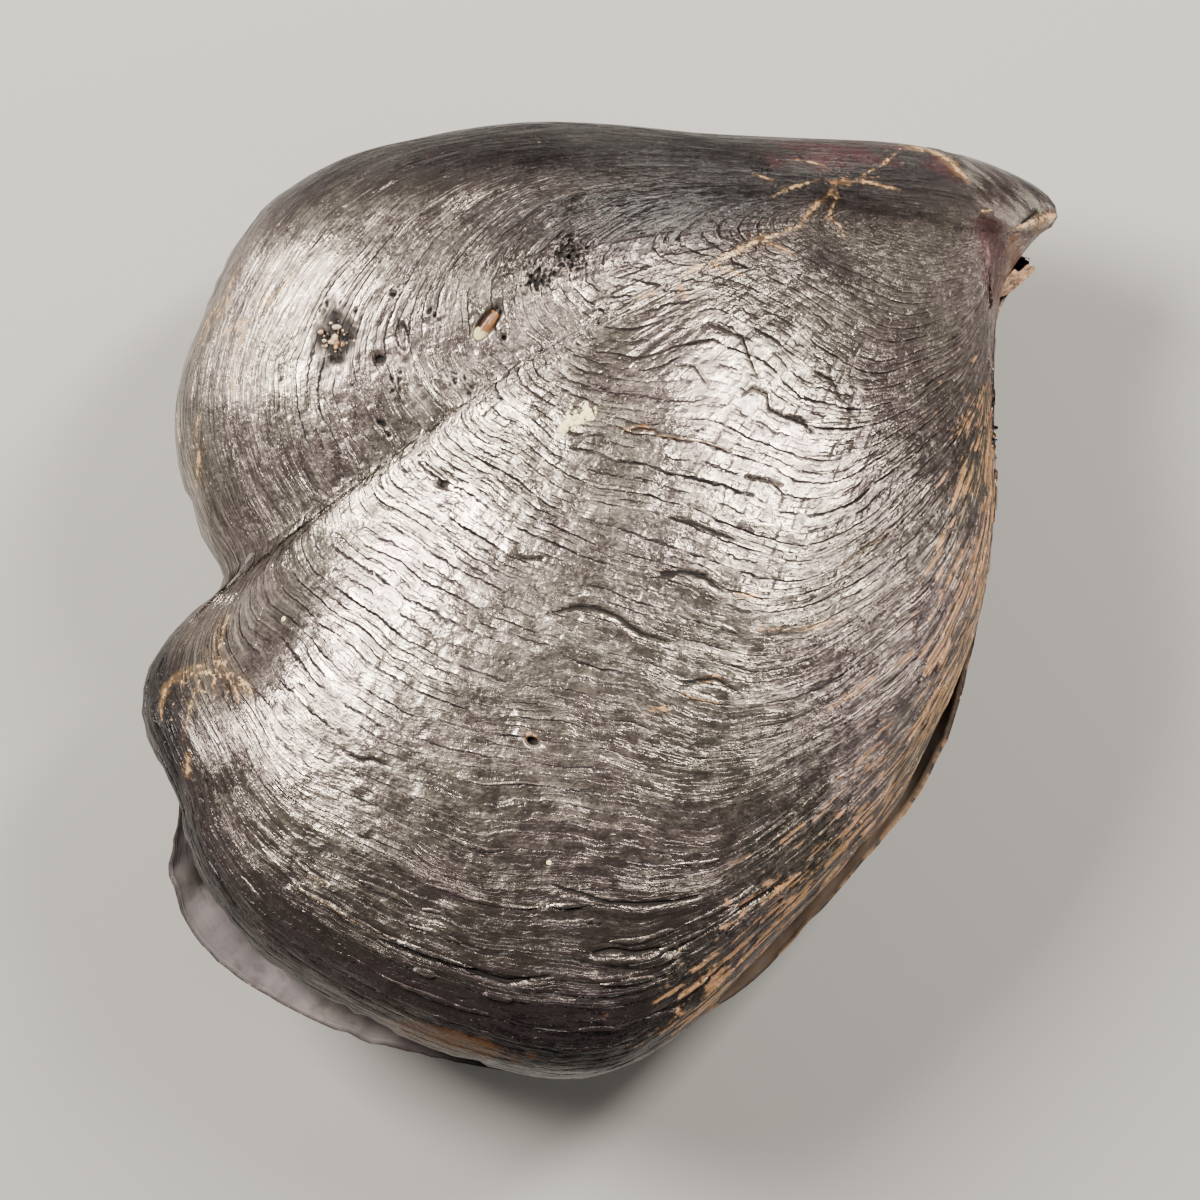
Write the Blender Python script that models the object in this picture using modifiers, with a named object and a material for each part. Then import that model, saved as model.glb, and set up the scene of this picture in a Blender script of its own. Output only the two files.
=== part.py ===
"""A pen shell with both valves, lying on its left valve.

Lengths are in millimetres until a mesh is made. X runs towards the beaks, Y towards the
hinge and Z out of the right valve. The margins of the two valves meet near Z = 0.
"""

import math

import bmesh
import bpy
import numpy as np
from mathutils import Matrix, Vector

MM = 0.001

# Margin of both valves, from the beak along the hinge and round the back to the lower lobe
SHARED_MARGIN = [
    (100.5, 101.5), (85.5, 107), (70.5, 109.5), (48, 110.5), (24, 111.5), (2.5, 113.5),
    (-17.5, 114), (-40.5, 111), (-63, 105), (-82, 92), (-93.5, 72), (-100.5, 51.5),
    (-101, 35), (-96, 17.5), (-90, 4.5), (-98.5, -4), (-107, -15), (-109.5, -27.5),
    (-106, -37),
]
# The right valve is broken back along its lower edge
RIGHT_MARGIN = SHARED_MARGIN + [
    (-100.5, -49), (-98, -60), (-93.5, -71), (-84, -86.5), (-72, -96), (-55, -104.5),
    (-38.5, -110), (-18, -114), (-7, -114), (5.5, -111.5), (21.5, -101.5), (38.5, -85),
    (55, -67), (69.5, -50.5), (80.5, -30), (86, -17), (90, -3), (93.5, 18), (94, 40.5),
    (94.5, 60), (97, 75.5), (104.5, 86.5), (109.5, 90.5), (108.5, 96),
]
# The left valve keeps its full lower edge, and a flake stands out under its beak
LEFT_MARGIN = SHARED_MARGIN + [
    (-102, -49), (-104, -65.5), (-99.5, -78), (-90.5, -88.5), (-72, -100), (-50.5, -108.5),
    (-31.5, -112), (-18, -114), (-7, -114.5), (5.5, -112), (17, -105.5), (37, -92),
    (53, -75.5), (66.5, -59.5), (73.5, -51.5), (83.5, -33.5), (89, -14), (92.5, 3),
    (93.5, 18), (94, 40.5), (94.5, 60), (97, 72), (105, 80), (108, 90), (107.5, 95),
]
CURVE_STEPS = 20  # points on each stretch of a margin between two of the points above

# Growth: every older margin is the present one, smaller and swung up about the hinge
GROWTH_CENTRE = (89, 87)
HINGE_SLOPE = math.radians(6)
SWING = math.radians(88)
SWING_EASE = 0.77
RINGS = 25
RING_EASE = 1.35  # over 1 crowds the rings towards the margin

# Inflation of a valve
BEAK = (108, 92.5)
CROWN_HEIGHT = 60
RIGHT_CROWN = (3.5, 9)
LEFT_CROWN = (-26, 22)
CROWN_FALL = 0.09  # share of the height lost 100 mm from the crown
BEAK_REACH = 130  # distance from the beak at which a valve is fully high
BEAK_TAPER = 0.7
SIDE_WIDTH = (10, 62)  # how far in the sides round over, at the beak and far from it
SIDE_REACH = 110
SIDE_ROUNDING = 1.25
FRONT_STEEPNESS = 0.55
FRONT_EDGE = (94, 35)
FRONT_SPREAD = (18, 60)

# The furrow between the two lobes, from the notch to the beak
FURROW = [
    (-90, 4), (-79.5, 12), (-70, 18), (-46, 31), (-23, 48.5), (0, 64.5), (23, 75.5),
    (46, 86.5), (71, 103),
]
FURROW_DEPTH = (13.7, 1.2)
FURROW_EASE = 1.25
LOWER_SHOULDER = 11
UPPER_SHOULDER = 20
FURROW_ROUNDING = (0.6, 5.6)

# Walls, hinge and rest
WALL = 3.2
LIP_SHARE = 0.3  # the lip's thickness as a share of the wall
LIP_WIDTH = 12
HINGE_ENDS = ((108, 95), (-29, 114))
GAPE = math.radians(0.8)  # each valve's opening about the hinge
HINGE_GAP = 0.9  # half the space between the valves at the hinge
REST_DEPTH = 0.3  # height of the worn cap that makes the flat underneath
REST_CUTTER = 80

LIGAMENT_SPAN = (0.03, 0.17)  # shares of the margin's length, from the beak
LIGAMENT_INSET = (0.8, 5.2)
LIGAMENT_THICKNESS = 1.1
LIGAMENT_STEPS = 20

CRUST_PLACE = (-5, 41)
CRUST_SIZE = (4.9, 3.2)
CRUST_ANGLE = math.radians(35)
CRUST_THICKNESS = 0.9
CLAM_PLACE = (-25, 62)
CLAM_SIZE = (4.4, 1.6, 1.3)
CLAM_ANGLE = math.radians(55)
SURFACE_GAP = 0.45  # clear space under the crust and the clam


def smooth_closed_curve(points):
    """A closed curve through all the points, as an array of even steps in each stretch."""
    before = np.roll(points, 1, axis=0)
    after = np.roll(points, -1, axis=0)
    beyond = np.roll(points, -2, axis=0)
    steps = []
    for t in np.linspace(0, 1, CURVE_STEPS, endpoint=False):
        steps.append(
            0.5 * (2 * points + (after - before) * t
                   + (2 * before - 5 * points + 4 * after - beyond) * t ** 2
                   + (3 * points - before - 3 * after + beyond) * t ** 3)
        )
    return np.stack(steps, axis=1).reshape(-1, 2)


def inset_from_margin(plan, curve):
    """Distance in from the margin, smoothed, and grown where the front side is steep."""
    step = np.linalg.norm(np.roll(curve, -1, axis=0) - curve, axis=1)
    across, along = (curve - FRONT_EDGE).T / np.array(FRONT_SPREAD)[:, None]
    weight = step * (1 - FRONT_STEEPNESS * np.exp(-across ** 2 - along ** 2))
    apart = np.linalg.norm(plan[:, None, :] - curve[None, :, :], axis=2) + 1e-3
    return np.sqrt(2 / (weight / apart ** 3).sum(axis=1))


def furrow_depth(plan):
    """Depth of the furrow at each place: steep on the lower lobe, gentle on the upper."""
    line = np.array(FURROW, float)
    lengths = np.linalg.norm(np.diff(line, axis=0), axis=1)
    starts = np.concatenate([[0], np.cumsum(lengths)])
    nearest = np.full(len(plan), np.inf)
    side = np.zeros(len(plan))
    share = np.zeros(len(plan))
    for index, length in enumerate(lengths):
        direction = (line[index + 1] - line[index]) / length
        offset = plan - line[index]
        along = np.clip(offset @ direction, 0, length)
        away = np.linalg.norm(offset - along[:, None] * direction, axis=1)
        closer = away < nearest
        nearest[closer] = away[closer]
        turn = direction[1] * offset[:, 0] - direction[0] * offset[:, 1]
        side[closer] = np.sign(turn)[closer]
        share[closer] = ((starts[index] + along) / starts[-1])[closer]
    depth = FURROW_DEPTH[1] + (FURROW_DEPTH[0] - FURROW_DEPTH[1]) * (1 - share) ** FURROW_EASE
    rounding = FURROW_ROUNDING[0] + (FURROW_ROUNDING[1] - FURROW_ROUNDING[0]) * share
    away = np.sqrt(nearest ** 2 + rounding ** 2) - rounding
    return depth * np.exp(-away / np.where(side > 0, LOWER_SHOULDER, UPPER_SHOULDER))


def valve_height(plan, curve, crown):
    """Height of a valve's outside over the plane of its margin."""
    inset = inset_from_margin(plan, curve)
    from_beak = np.linalg.norm(plan - BEAK, axis=1)
    from_crown = np.linalg.norm(plan - crown, axis=1)
    taper = np.sin(math.pi / 2 * np.minimum(from_beak / BEAK_REACH, 1)) ** BEAK_TAPER
    full = CROWN_HEIGHT * taper * (1 - CROWN_FALL * (from_crown / 100) ** 2)
    near, far = SIDE_WIDTH
    width = near + (far - near) * (1 - np.exp(-from_beak / SIDE_REACH))
    short = np.exp(-SIDE_ROUNDING * inset / width)
    height = full * np.sqrt(1 - short ** 2)
    return height - furrow_depth(plan) * np.clip(height / 30, 0, 1) ** 0.8


def growth_plan(margin, size):
    """Plan of the margins at the ages in size, each from 0 at the beak to 1 at the edge."""
    along = np.array([-math.cos(HINGE_SLOPE), math.sin(HINGE_SLOPE)])
    down = np.array([-math.sin(HINGE_SLOPE), -math.cos(HINGE_SLOPE)])
    reach = margin - GROWTH_CENTRE
    swung = np.cos(SWING * (1 - size) ** SWING_EASE)
    length = (size * (reach @ along))[:, None] * along
    depth = (size * swung * (reach @ down))[:, None] * down
    return GROWTH_CENTRE + length + depth


def new_object(name, mesh, collection, root, material):
    mesh.materials.append(material)
    item = bpy.data.objects.new(name, mesh)
    collection.objects.link(item)
    item.parent = root
    return item


def surface_material(name, colour, roughness):
    material = bpy.data.materials.new(name)
    material.use_nodes = True
    shader = material.node_tree.nodes["Principled BSDF"]
    shader.inputs["Base Color"].default_value = (*colour, 1)
    shader.inputs["Roughness"].default_value = roughness
    shader.inputs["Metallic"].default_value = 0
    return material


def grid_mesh(name, columns, rows, place, facing):
    """A grid whose corners are moved by place(across, up), with its seams closed."""
    work = bmesh.new()
    bmesh.ops.create_grid(work, x_segments=columns, y_segments=rows, size=1)
    across = np.array([(vert.co.x + 1) / 2 for vert in work.verts])
    up = np.array([(vert.co.y + 1) / 2 for vert in work.verts])
    for vert, point in zip(work.verts, place(across, up)):
        vert.co = Vector(point) * MM
    bmesh.ops.remove_doubles(work, verts=work.verts, dist=1e-6)
    bmesh.ops.recalc_face_normals(work, faces=work.faces)
    if sum(face.normal.z * face.calc_area() for face in work.faces) * facing < 0:
        bmesh.ops.reverse_faces(work, faces=work.faces)
    mesh = bpy.data.meshes.new(name)
    work.to_mesh(mesh)
    work.free()
    return mesh


def thicken(item, thickness, offset=-1.0):
    modifier = item.modifiers.new("wall", "SOLIDIFY")
    modifier.thickness = thickness * MM
    modifier.offset = offset
    return modifier


def make_valve(name, outline, crown, facing, collection, root, material):
    """One valve, its margin in the plane of the hinge and its dome towards facing."""
    margin = np.array(outline, float)
    curve = smooth_closed_curve(margin)

    def place(across, up):
        size = 1 - (1 - across) ** RING_EASE
        spoke = np.rint(up * len(margin)).astype(int) % len(margin)
        plan = growth_plan(margin[spoke], size)
        height = valve_height(plan, curve, crown)
        height[across > 0.999] = 0
        return np.column_stack([plan, facing * height])

    mesh = grid_mesh(name, RINGS, len(margin), place, facing)
    item = new_object(name, mesh, collection, root, material)
    plan = np.array([vert.co.to_2d()[:] for vert in mesh.vertices]) / MM
    inset = inset_from_margin(plan, curve)
    wall = item.vertex_groups.new(name="wall")
    for index, share in enumerate(np.clip(inset / LIP_WIDTH, LIP_SHARE, 1)):
        wall.add([index], float(share), "REPLACE")
    modifier = thicken(item, WALL)
    modifier.vertex_group = wall.name
    modifier.use_quality_normals = True
    mesh.shade_smooth()
    item.matrix_local = opened(facing)
    return item


def opened(facing):
    """The turn of a valve about the hinge line, and its lift off the middle plane."""
    front, back = (Vector((x, y, 0)) * MM for x, y in HINGE_ENDS)
    turn = Matrix.Rotation(facing * GAPE, 4, back - front)
    lift = Matrix.Translation((0, 0, facing * HINGE_GAP * MM))
    return lift @ Matrix.Translation(front) @ turn @ Matrix.Translation(-front)


def make_ligament(collection, root, material):
    """The dark elastic strip that joins the valves, in the gap along the hinge."""
    curve = smooth_closed_curve(np.array(RIGHT_MARGIN, float))
    first, last = (round(share * len(curve)) for share in LIGAMENT_SPAN)

    def place(across, up):
        spot = first + across * (last - first)
        index = np.rint(spot).astype(int)
        tangent = curve[index + 1] - curve[index - 1]
        inward = np.column_stack([-tangent[:, 1], tangent[:, 0]])
        inward /= np.linalg.norm(inward, axis=1)[:, None]
        ends = np.sqrt(np.clip(1 - (2 * across - 1) ** 6, 0.05, 1))
        near, far = LIGAMENT_INSET
        inset = near + (far - near) * up * ends
        return np.column_stack([curve[index] + inset[:, None] * inward, np.zeros(len(up))])

    mesh = grid_mesh("hinge_ligament", LIGAMENT_STEPS, 1, place, 1)
    item = new_object("hinge_ligament", mesh, collection, root, material)
    thicken(item, LIGAMENT_THICKNESS, offset=0.0)
    return item


def lie_on_valve(item, place, angle, lift):
    """Turn and place a small piece on the outside of the right valve."""
    curve = smooth_closed_curve(np.array(RIGHT_MARGIN, float))
    spot = np.array(place, float)
    near = spot + np.array([(0, 0), (1, 0), (0, 1)])
    height = valve_height(near, curve, RIGHT_CROWN)
    normal = Vector((height[0] - height[1], height[0] - height[2], 1)).normalized()
    seat = Vector((*spot, height[0])) + normal * lift
    upright = normal.to_track_quat("Z", "Y").to_matrix().to_4x4()
    turned = upright @ Matrix.Rotation(angle, 4, "Z")
    item.matrix_local = opened(1) @ Matrix.Translation(seat * MM) @ turned


def make_crust(collection, root, material):
    """A thin patch of lime that an animal left on the right valve."""
    work = bmesh.new()
    bmesh.ops.create_uvsphere(work, u_segments=12, v_segments=6, radius=1)
    mesh = bpy.data.meshes.new("lime_crust")
    long, wide = CRUST_SIZE
    size = Matrix.Diagonal((long * MM, wide * MM, CRUST_THICKNESS / 2 * MM, 1))
    bmesh.ops.transform(work, matrix=size, verts=work.verts)
    work.to_mesh(mesh)
    work.free()
    item = new_object("lime_crust", mesh, collection, root, material)
    lie_on_valve(item, CRUST_PLACE, CRUST_ANGLE, SURFACE_GAP + CRUST_THICKNESS / 2)
    return item


def make_clam(collection, root, material):
    """The small boring clam that sits at the mouth of its hole in the right valve."""
    work = bmesh.new()
    bmesh.ops.create_uvsphere(work, u_segments=12, v_segments=8, radius=1)
    mesh = bpy.data.meshes.new("boring_clam")
    size = Matrix.Diagonal([half * MM for half in CLAM_SIZE] + [1])
    bmesh.ops.transform(work, matrix=size, verts=work.verts)
    work.to_mesh(mesh)
    work.free()
    mesh.shade_smooth()
    item = new_object("boring_clam", mesh, collection, root, material)
    lie_on_valve(item, CLAM_PLACE, CLAM_ANGLE, SURFACE_GAP + CLAM_SIZE[2])
    return item


def world_points(item):
    bpy.context.view_layer.update()
    graph = bpy.context.evaluated_depsgraph_get()
    seen = item.evaluated_get(graph)
    points = np.array([(seen.matrix_world @ vert.co)[:] for vert in seen.to_mesh().vertices])
    seen.to_mesh_clear()
    return points


def wear_flat(valve, cutters, root):
    """Cut the valve's lowest cap off level, which leaves the flat that it rests on."""
    level = world_points(valve)[:, 2].min() + REST_DEPTH * MM
    half = REST_CUTTER / 2 * MM
    bpy.ops.mesh.primitive_cube_add(size=2 * half, location=(0, 0, level - half))
    cutter = bpy.context.object
    cutter.name = "rest_cutter"
    cutter.hide_render = True
    cutter.display_type = "WIRE"
    cutter.parent = root
    for owner in cutter.users_collection:
        owner.objects.unlink(cutter)
    cutters.objects.link(cutter)
    modifier = valve.modifiers.new("rest", "BOOLEAN")
    modifier.object = cutter
    modifier.operation = "DIFFERENCE"
    modifier.solver = "EXACT"


def stand_on_origin(root, pieces):
    """Move the root so that the bottom middle of the whole is at the origin."""
    points = np.concatenate([world_points(piece) for piece in pieces])
    low, high = points.min(axis=0), points.max(axis=0)
    middle = (low + high) / 2
    root.location = (-middle[0], -middle[1], -low[2])


def main():
    for item in list(bpy.data.objects):
        bpy.data.objects.remove(item)
    shell = bpy.data.collections.new("pen_shell")
    cutters = bpy.data.collections.new("cutters")
    for collection in (shell, cutters):
        bpy.context.scene.collection.children.link(collection)
    root = bpy.data.objects.new("pen_shell_root", None)
    shell.objects.link(root)

    horn = surface_material("shell_horn", (0.075, 0.066, 0.064), 0.42)
    dark_horn = surface_material("shell_horn_left", (0.07, 0.062, 0.06), 0.45)
    elastic = surface_material("ligament", (0.02, 0.014, 0.011), 0.6)
    lime = surface_material("lime", (0.72, 0.69, 0.58), 0.85)
    amber = surface_material("clam", (0.3, 0.14, 0.05), 0.35)

    right = make_valve("right_valve", RIGHT_MARGIN, RIGHT_CROWN, 1, shell, root, horn)
    left = make_valve("left_valve", LEFT_MARGIN, LEFT_CROWN, -1, shell, root, dark_horn)
    ligament = make_ligament(shell, root, elastic)
    crust = make_crust(shell, root, lime)
    clam = make_clam(shell, root, amber)
    wear_flat(left, cutters, root)
    stand_on_origin(root, (right, left, ligament, crust, clam))


main()
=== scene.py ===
import math

import bpy
import numpy as np
from mathutils import Matrix, Vector
from mathutils.bvhtree import BVHTree


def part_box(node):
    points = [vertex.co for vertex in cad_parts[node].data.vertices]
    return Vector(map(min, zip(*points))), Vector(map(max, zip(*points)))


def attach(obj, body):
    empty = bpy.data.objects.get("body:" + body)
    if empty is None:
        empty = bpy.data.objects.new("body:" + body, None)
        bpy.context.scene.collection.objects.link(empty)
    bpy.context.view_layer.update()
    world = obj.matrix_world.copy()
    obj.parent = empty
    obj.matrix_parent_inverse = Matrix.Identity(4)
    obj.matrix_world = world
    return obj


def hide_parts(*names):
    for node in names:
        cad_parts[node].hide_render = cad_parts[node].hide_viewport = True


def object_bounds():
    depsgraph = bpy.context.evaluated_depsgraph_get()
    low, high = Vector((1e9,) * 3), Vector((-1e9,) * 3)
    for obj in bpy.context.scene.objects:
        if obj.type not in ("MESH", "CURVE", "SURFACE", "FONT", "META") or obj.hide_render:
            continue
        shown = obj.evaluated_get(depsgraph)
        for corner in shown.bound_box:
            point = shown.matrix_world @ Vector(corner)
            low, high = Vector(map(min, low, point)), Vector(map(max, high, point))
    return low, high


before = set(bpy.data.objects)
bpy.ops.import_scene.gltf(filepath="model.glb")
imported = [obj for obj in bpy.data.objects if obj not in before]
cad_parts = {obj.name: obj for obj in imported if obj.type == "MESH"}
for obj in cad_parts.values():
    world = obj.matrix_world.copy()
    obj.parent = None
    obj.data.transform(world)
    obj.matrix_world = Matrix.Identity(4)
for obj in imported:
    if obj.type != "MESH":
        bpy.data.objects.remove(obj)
cadLow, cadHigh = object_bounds()

mm = 0.001  # lengths below are in millimetres until a mesh is placed

# margin of both valves, from the beak along the hinge and round the back to the lower lobe
sharedMargin = [
    (100.5, 101.5), (85.5, 107), (70.5, 109.5), (48, 110.5), (24, 111.5), (2.5, 113.5),
    (-17.5, 114), (-40.5, 111), (-63, 105), (-82, 92), (-93.5, 72), (-100.5, 51.5),
    (-101, 35), (-96, 17.5), (-90, 4.5), (-98.5, -4), (-107, -15), (-109.5, -27.5),
    (-106, -37),
]
rightMargin = sharedMargin + [
    (-100.5, -49), (-97.5, -60), (-92.5, -70.5), (-83.5, -82.5), (-71, -91.5), (-55, -100),
    (-39, -107), (-20, -112.5), (-7, -114), (5.5, -111.5), (21.5, -101.5), (38.5, -85),
    (55, -67), (69.5, -50.5), (80.5, -30), (86, -17), (90, -3), (93.5, 18), (94, 40.5),
    (94.5, 60), (97, 75.5), (104.5, 86.5), (109.5, 90.5), (108.5, 96),
]
leftMargin = sharedMargin + [
    (-102, -49), (-104, -65.5), (-99.5, -78), (-90.5, -88.5), (-72, -100), (-50.5, -108.5),
    (-31.5, -112), (-18, -114), (-7, -114.5), (5.5, -112), (17, -105.5), (37, -92),
    (53, -75.5), (66.5, -59.5), (73.5, -51.5), (83.5, -33.5), (89, -14), (92.5, 3),
    (93.5, 18), (94, 40.5), (94.5, 60), (96.5, 70.5), (104.3, 79.6), (100.6, 83), (104.5, 88.5),
    (107.5, 93),
]

growth = {
    "centre": (89, 87),  # every older margin is the present one, smaller and swung up
    "hingeSlope": math.radians(6),
    "swing": math.radians(88),
    "swingEase": 0.77,
    "reach": 215,  # growth distance of the present margin, along the longest way
}
dome = {
    "beak": (108, 92.5),
    "crownHeight": 60,
    "crownFall": 0.09,  # share of the height lost 100 mm from the crown
    "beakReach": 130,
    "beakTaper": 0.7,
    "sideWidth": (10, 62),
    "sideReach": 110,
    "sideRounding": 1.25,
    "frontSteepness": 0.55,
    "frontEdge": (94, 35),
    "frontSpread": (18, 60),
}
furrow = {
    "line": [
        (-90, 4), (-79.5, 12), (-70, 18), (-46, 31), (-23, 48.5), (0, 64.5), (23, 75.5),
        (46, 86.5), (71, 103),
    ],
    "depth": (10.6, 1.2),
    "ease": 1.25,
    "lowerShoulder": 23,
    "lowerEase": 1.35,
    "upperShoulder": 31,
    "rounding": (1.0, 5.5),
}
hinge = {
    "ends": ((108, 95), (-29, 114)),
    "gape": math.radians(0.8),
    "gap": 0.9,
}
curveSteps = 30  # points on each stretch of a margin
insetGrid = (150, 300)
ringEase = 1.75  # over 1 crowds the rings towards the margin


def smoothClosedCurve(outline):
    points = np.array(outline, float)
    before = np.roll(points, 1, axis=0)
    after = np.roll(points, -1, axis=0)
    beyond = np.roll(points, -2, axis=0)
    steps = []
    for t in np.linspace(0, 1, curveSteps, endpoint=False):
        steps.append(0.5 * (2 * points + (after - before) * t
                            + (2 * before - 5 * points + 4 * after - beyond) * t ** 2
                            + (3 * points - before - 3 * after + beyond) * t ** 3))
    return np.stack(steps, axis=1).reshape(-1, 2)


def closedSpline(outline):
    # the margin as evenly spaced points, with the length along it
    curve = smoothClosedCurve(outline)
    lengths = np.linalg.norm(np.roll(curve, -1, axis=0) - curve, axis=1)
    starts = np.concatenate([[0], np.cumsum(lengths)])
    even = np.linspace(0, starts[-1], len(curve), endpoint=False)
    closed = np.vstack([curve, curve[:1]])
    return np.column_stack([np.interp(even, starts, closed[:, i]) for i in range(2)]), starts[-1]


def onMargin(curve, turn):
    # point and inward direction at a share of the way round
    spot = np.mod(turn, 1) * len(curve)
    index = np.floor(spot).astype(int) % len(curve)
    part = (spot - np.floor(spot))[:, None]
    after = np.roll(curve, -1, axis=0)
    tangent = after - np.roll(curve, 1, axis=0)
    inward = np.column_stack([-tangent[:, 1], tangent[:, 0]])
    inward /= np.linalg.norm(inward, axis=1)[:, None]
    return curve[index] * (1 - part) + after[index] * part, inward[index]


def edgeWeight(points):
    across, along = (points - dome["frontEdge"]).T / np.array(dome["frontSpread"])[:, None]
    return 1 - dome["frontSteepness"] * np.exp(-across ** 2 - along ** 2)


def insetFromMargin(plan, curve, edge, inward):
    # smoothed distance in from the margin; close to it, the plain distance
    step = np.linalg.norm(curve[1] - curve[0])
    weight = edgeWeight(curve) * step
    inset = np.empty(len(plan))
    for first in range(0, len(plan), 2000):
        part = plan[first:first + 2000]
        apart = ((part[:, None, :] - curve[None, :, :]) ** 2).sum(axis=2) + 1e-6
        inset[first:first + 2000] = np.sqrt(2 / (weight / (apart * np.sqrt(apart))).sum(axis=1))
    plain = np.abs(((plan - edge) * inward).sum(axis=1)) / np.sqrt(edgeWeight(edge))
    far = np.clip((plain - 2 * step) / (3 * step), 0, 1)
    near = np.linalg.norm(plan - edge, axis=1) < 12 * step
    return np.where(near, plain * (1 - far) + inset * far, inset)


def insetTable(curve):
    # the inset at even steps of growth and turn, to read between
    steps, turns = insetGrid
    fromLip, turn = np.meshgrid(np.linspace(0, 1, steps + 1), np.arange(turns) / turns, indexing="ij")
    size = 1 - fromLip.ravel() ** ringEase
    edge, inward = onMargin(curve, turn.ravel())
    inset = insetFromMargin(growthPlan(edge, size), curve, edge, inward)
    table = inset.reshape(steps + 1, turns)
    return np.hstack([table, table[:, :1]])


def readInset(table, size, turn):
    steps, turns = insetGrid
    row = np.clip((1 - np.minimum(size, 1)) ** (1 / ringEase), 0, 1) * steps
    column = np.mod(turn, 1) * turns
    low, left = np.minimum(row.astype(int), steps - 1), np.minimum(column.astype(int), turns - 1)
    down, over = row - low, column - left
    top = table[low, left] * (1 - over) + table[low, left + 1] * over
    bottom = table[low + 1, left] * (1 - over) + table[low + 1, left + 1] * over
    return top * (1 - down) + bottom * down


def alongLine(plan, line):
    # distance to a line, the side it lies on and the share of the way along
    line = np.array(line, float)
    lengths = np.linalg.norm(np.diff(line, axis=0), axis=1)
    starts = np.concatenate([[0], np.cumsum(lengths)])
    nearest = np.full(len(plan), np.inf)
    side = np.zeros(len(plan))
    share = np.zeros(len(plan))
    for index, length in enumerate(lengths):
        direction = (line[index + 1] - line[index]) / length
        offset = plan - line[index]
        along = np.clip(offset @ direction, 0, length)
        away = np.linalg.norm(offset - along[:, None] * direction, axis=1)
        closer = away < nearest
        nearest[closer] = away[closer]
        turn = direction[1] * offset[:, 0] - direction[0] * offset[:, 1]
        side[closer] = np.sign(turn)[closer]
        share[closer] = ((starts[index] + along) / starts[-1])[closer]
    return nearest, side, share


def furrowDepth(plan):
    away, side, share = alongLine(plan, furrow["line"])
    deep, shallow = furrow["depth"]
    depth = shallow + (deep - shallow) * (1 - share) ** furrow["ease"]
    sharp, soft = furrow["rounding"]
    rounding = sharp + (soft - sharp) * share
    away = np.sqrt(away ** 2 + rounding ** 2) - rounding
    above = np.exp(-away / furrow["upperShoulder"])
    below = np.exp(-(away / furrow["lowerShoulder"]) ** furrow["lowerEase"])
    return depth * np.where(side > 0, below, above)


def heightOver(plan, inset, crown):
    fromBeak = np.linalg.norm(plan - dome["beak"], axis=1)
    fromCrown = np.linalg.norm(plan - crown, axis=1)
    taper = np.sin(math.pi / 2 * np.minimum(fromBeak / dome["beakReach"], 1)) ** dome["beakTaper"]
    full = dome["crownHeight"] * taper * (1 - dome["crownFall"] * (fromCrown / 100) ** 2)
    near, far = dome["sideWidth"]
    width = near + (far - near) * (1 - np.exp(-fromBeak / dome["sideReach"]))
    short = np.exp(-dome["sideRounding"] * inset / width)
    height = full * np.sqrt(1 - short ** 2)
    return height - furrowDepth(plan) * np.clip(height / 30, 0, 1) ** 0.8


def growthPlan(margin, size):
    along = np.array([-math.cos(growth["hingeSlope"]), math.sin(growth["hingeSlope"])])
    down = np.array([-math.sin(growth["hingeSlope"]), -math.cos(growth["hingeSlope"])])
    reach = margin - growth["centre"]
    swung = np.cos(growth["swing"] * (1 - size) ** growth["swingEase"])
    length = (size * (reach @ along))[:, None] * along
    depth = (size * swung * (reach @ down))[:, None] * down
    return growth["centre"] + length + depth


def latticeValue(cell, seed):
    primes = (374761393, 668265263, 2246822519)
    mixed = np.full(cell.shape[0], seed * 1274126177 & 0xFFFFFFFF, np.uint64)
    for axis in range(cell.shape[1]):
        column = (cell[:, axis] & 0xFFFFFFFF).astype(np.uint64)
        mixed = (mixed + column * np.uint64(primes[axis])) & np.uint64(0xFFFFFFFF)
    mixed ^= mixed >> np.uint64(13)
    mixed = mixed * np.uint64(1274126177) & np.uint64(0xFFFFFFFF)
    mixed ^= mixed >> np.uint64(16)
    return mixed.astype(float) / 0xFFFFFFFF


def softNoise(places, scale, seed):
    # smooth values from -1 to 1, with places as one column for each direction
    spots = np.asarray(places, float) / scale
    cell = np.floor(spots).astype(np.int64)
    part = spots - cell
    part = part * part * (3 - 2 * part)
    total = np.zeros(len(spots))
    for corner in range(2 ** spots.shape[1]):
        bits = np.array([corner >> axis & 1 for axis in range(spots.shape[1])])
        share = np.prod(np.where(bits == 1, part, 1 - part), axis=1)
        total += share * latticeValue(cell + bits, seed)
    return total * 2 - 1


def layeredNoise(places, scale, seed, octaves=3):
    total = sum(softNoise(places, scale / 2 ** k, seed + 17 * k) / 2 ** k for k in range(octaves))
    return total / 1.6


def smoothStep(low, high, value):
    t = np.clip((value - low) / (high - low), 0, 1)
    return t * t * (3 - 2 * t)


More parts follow.
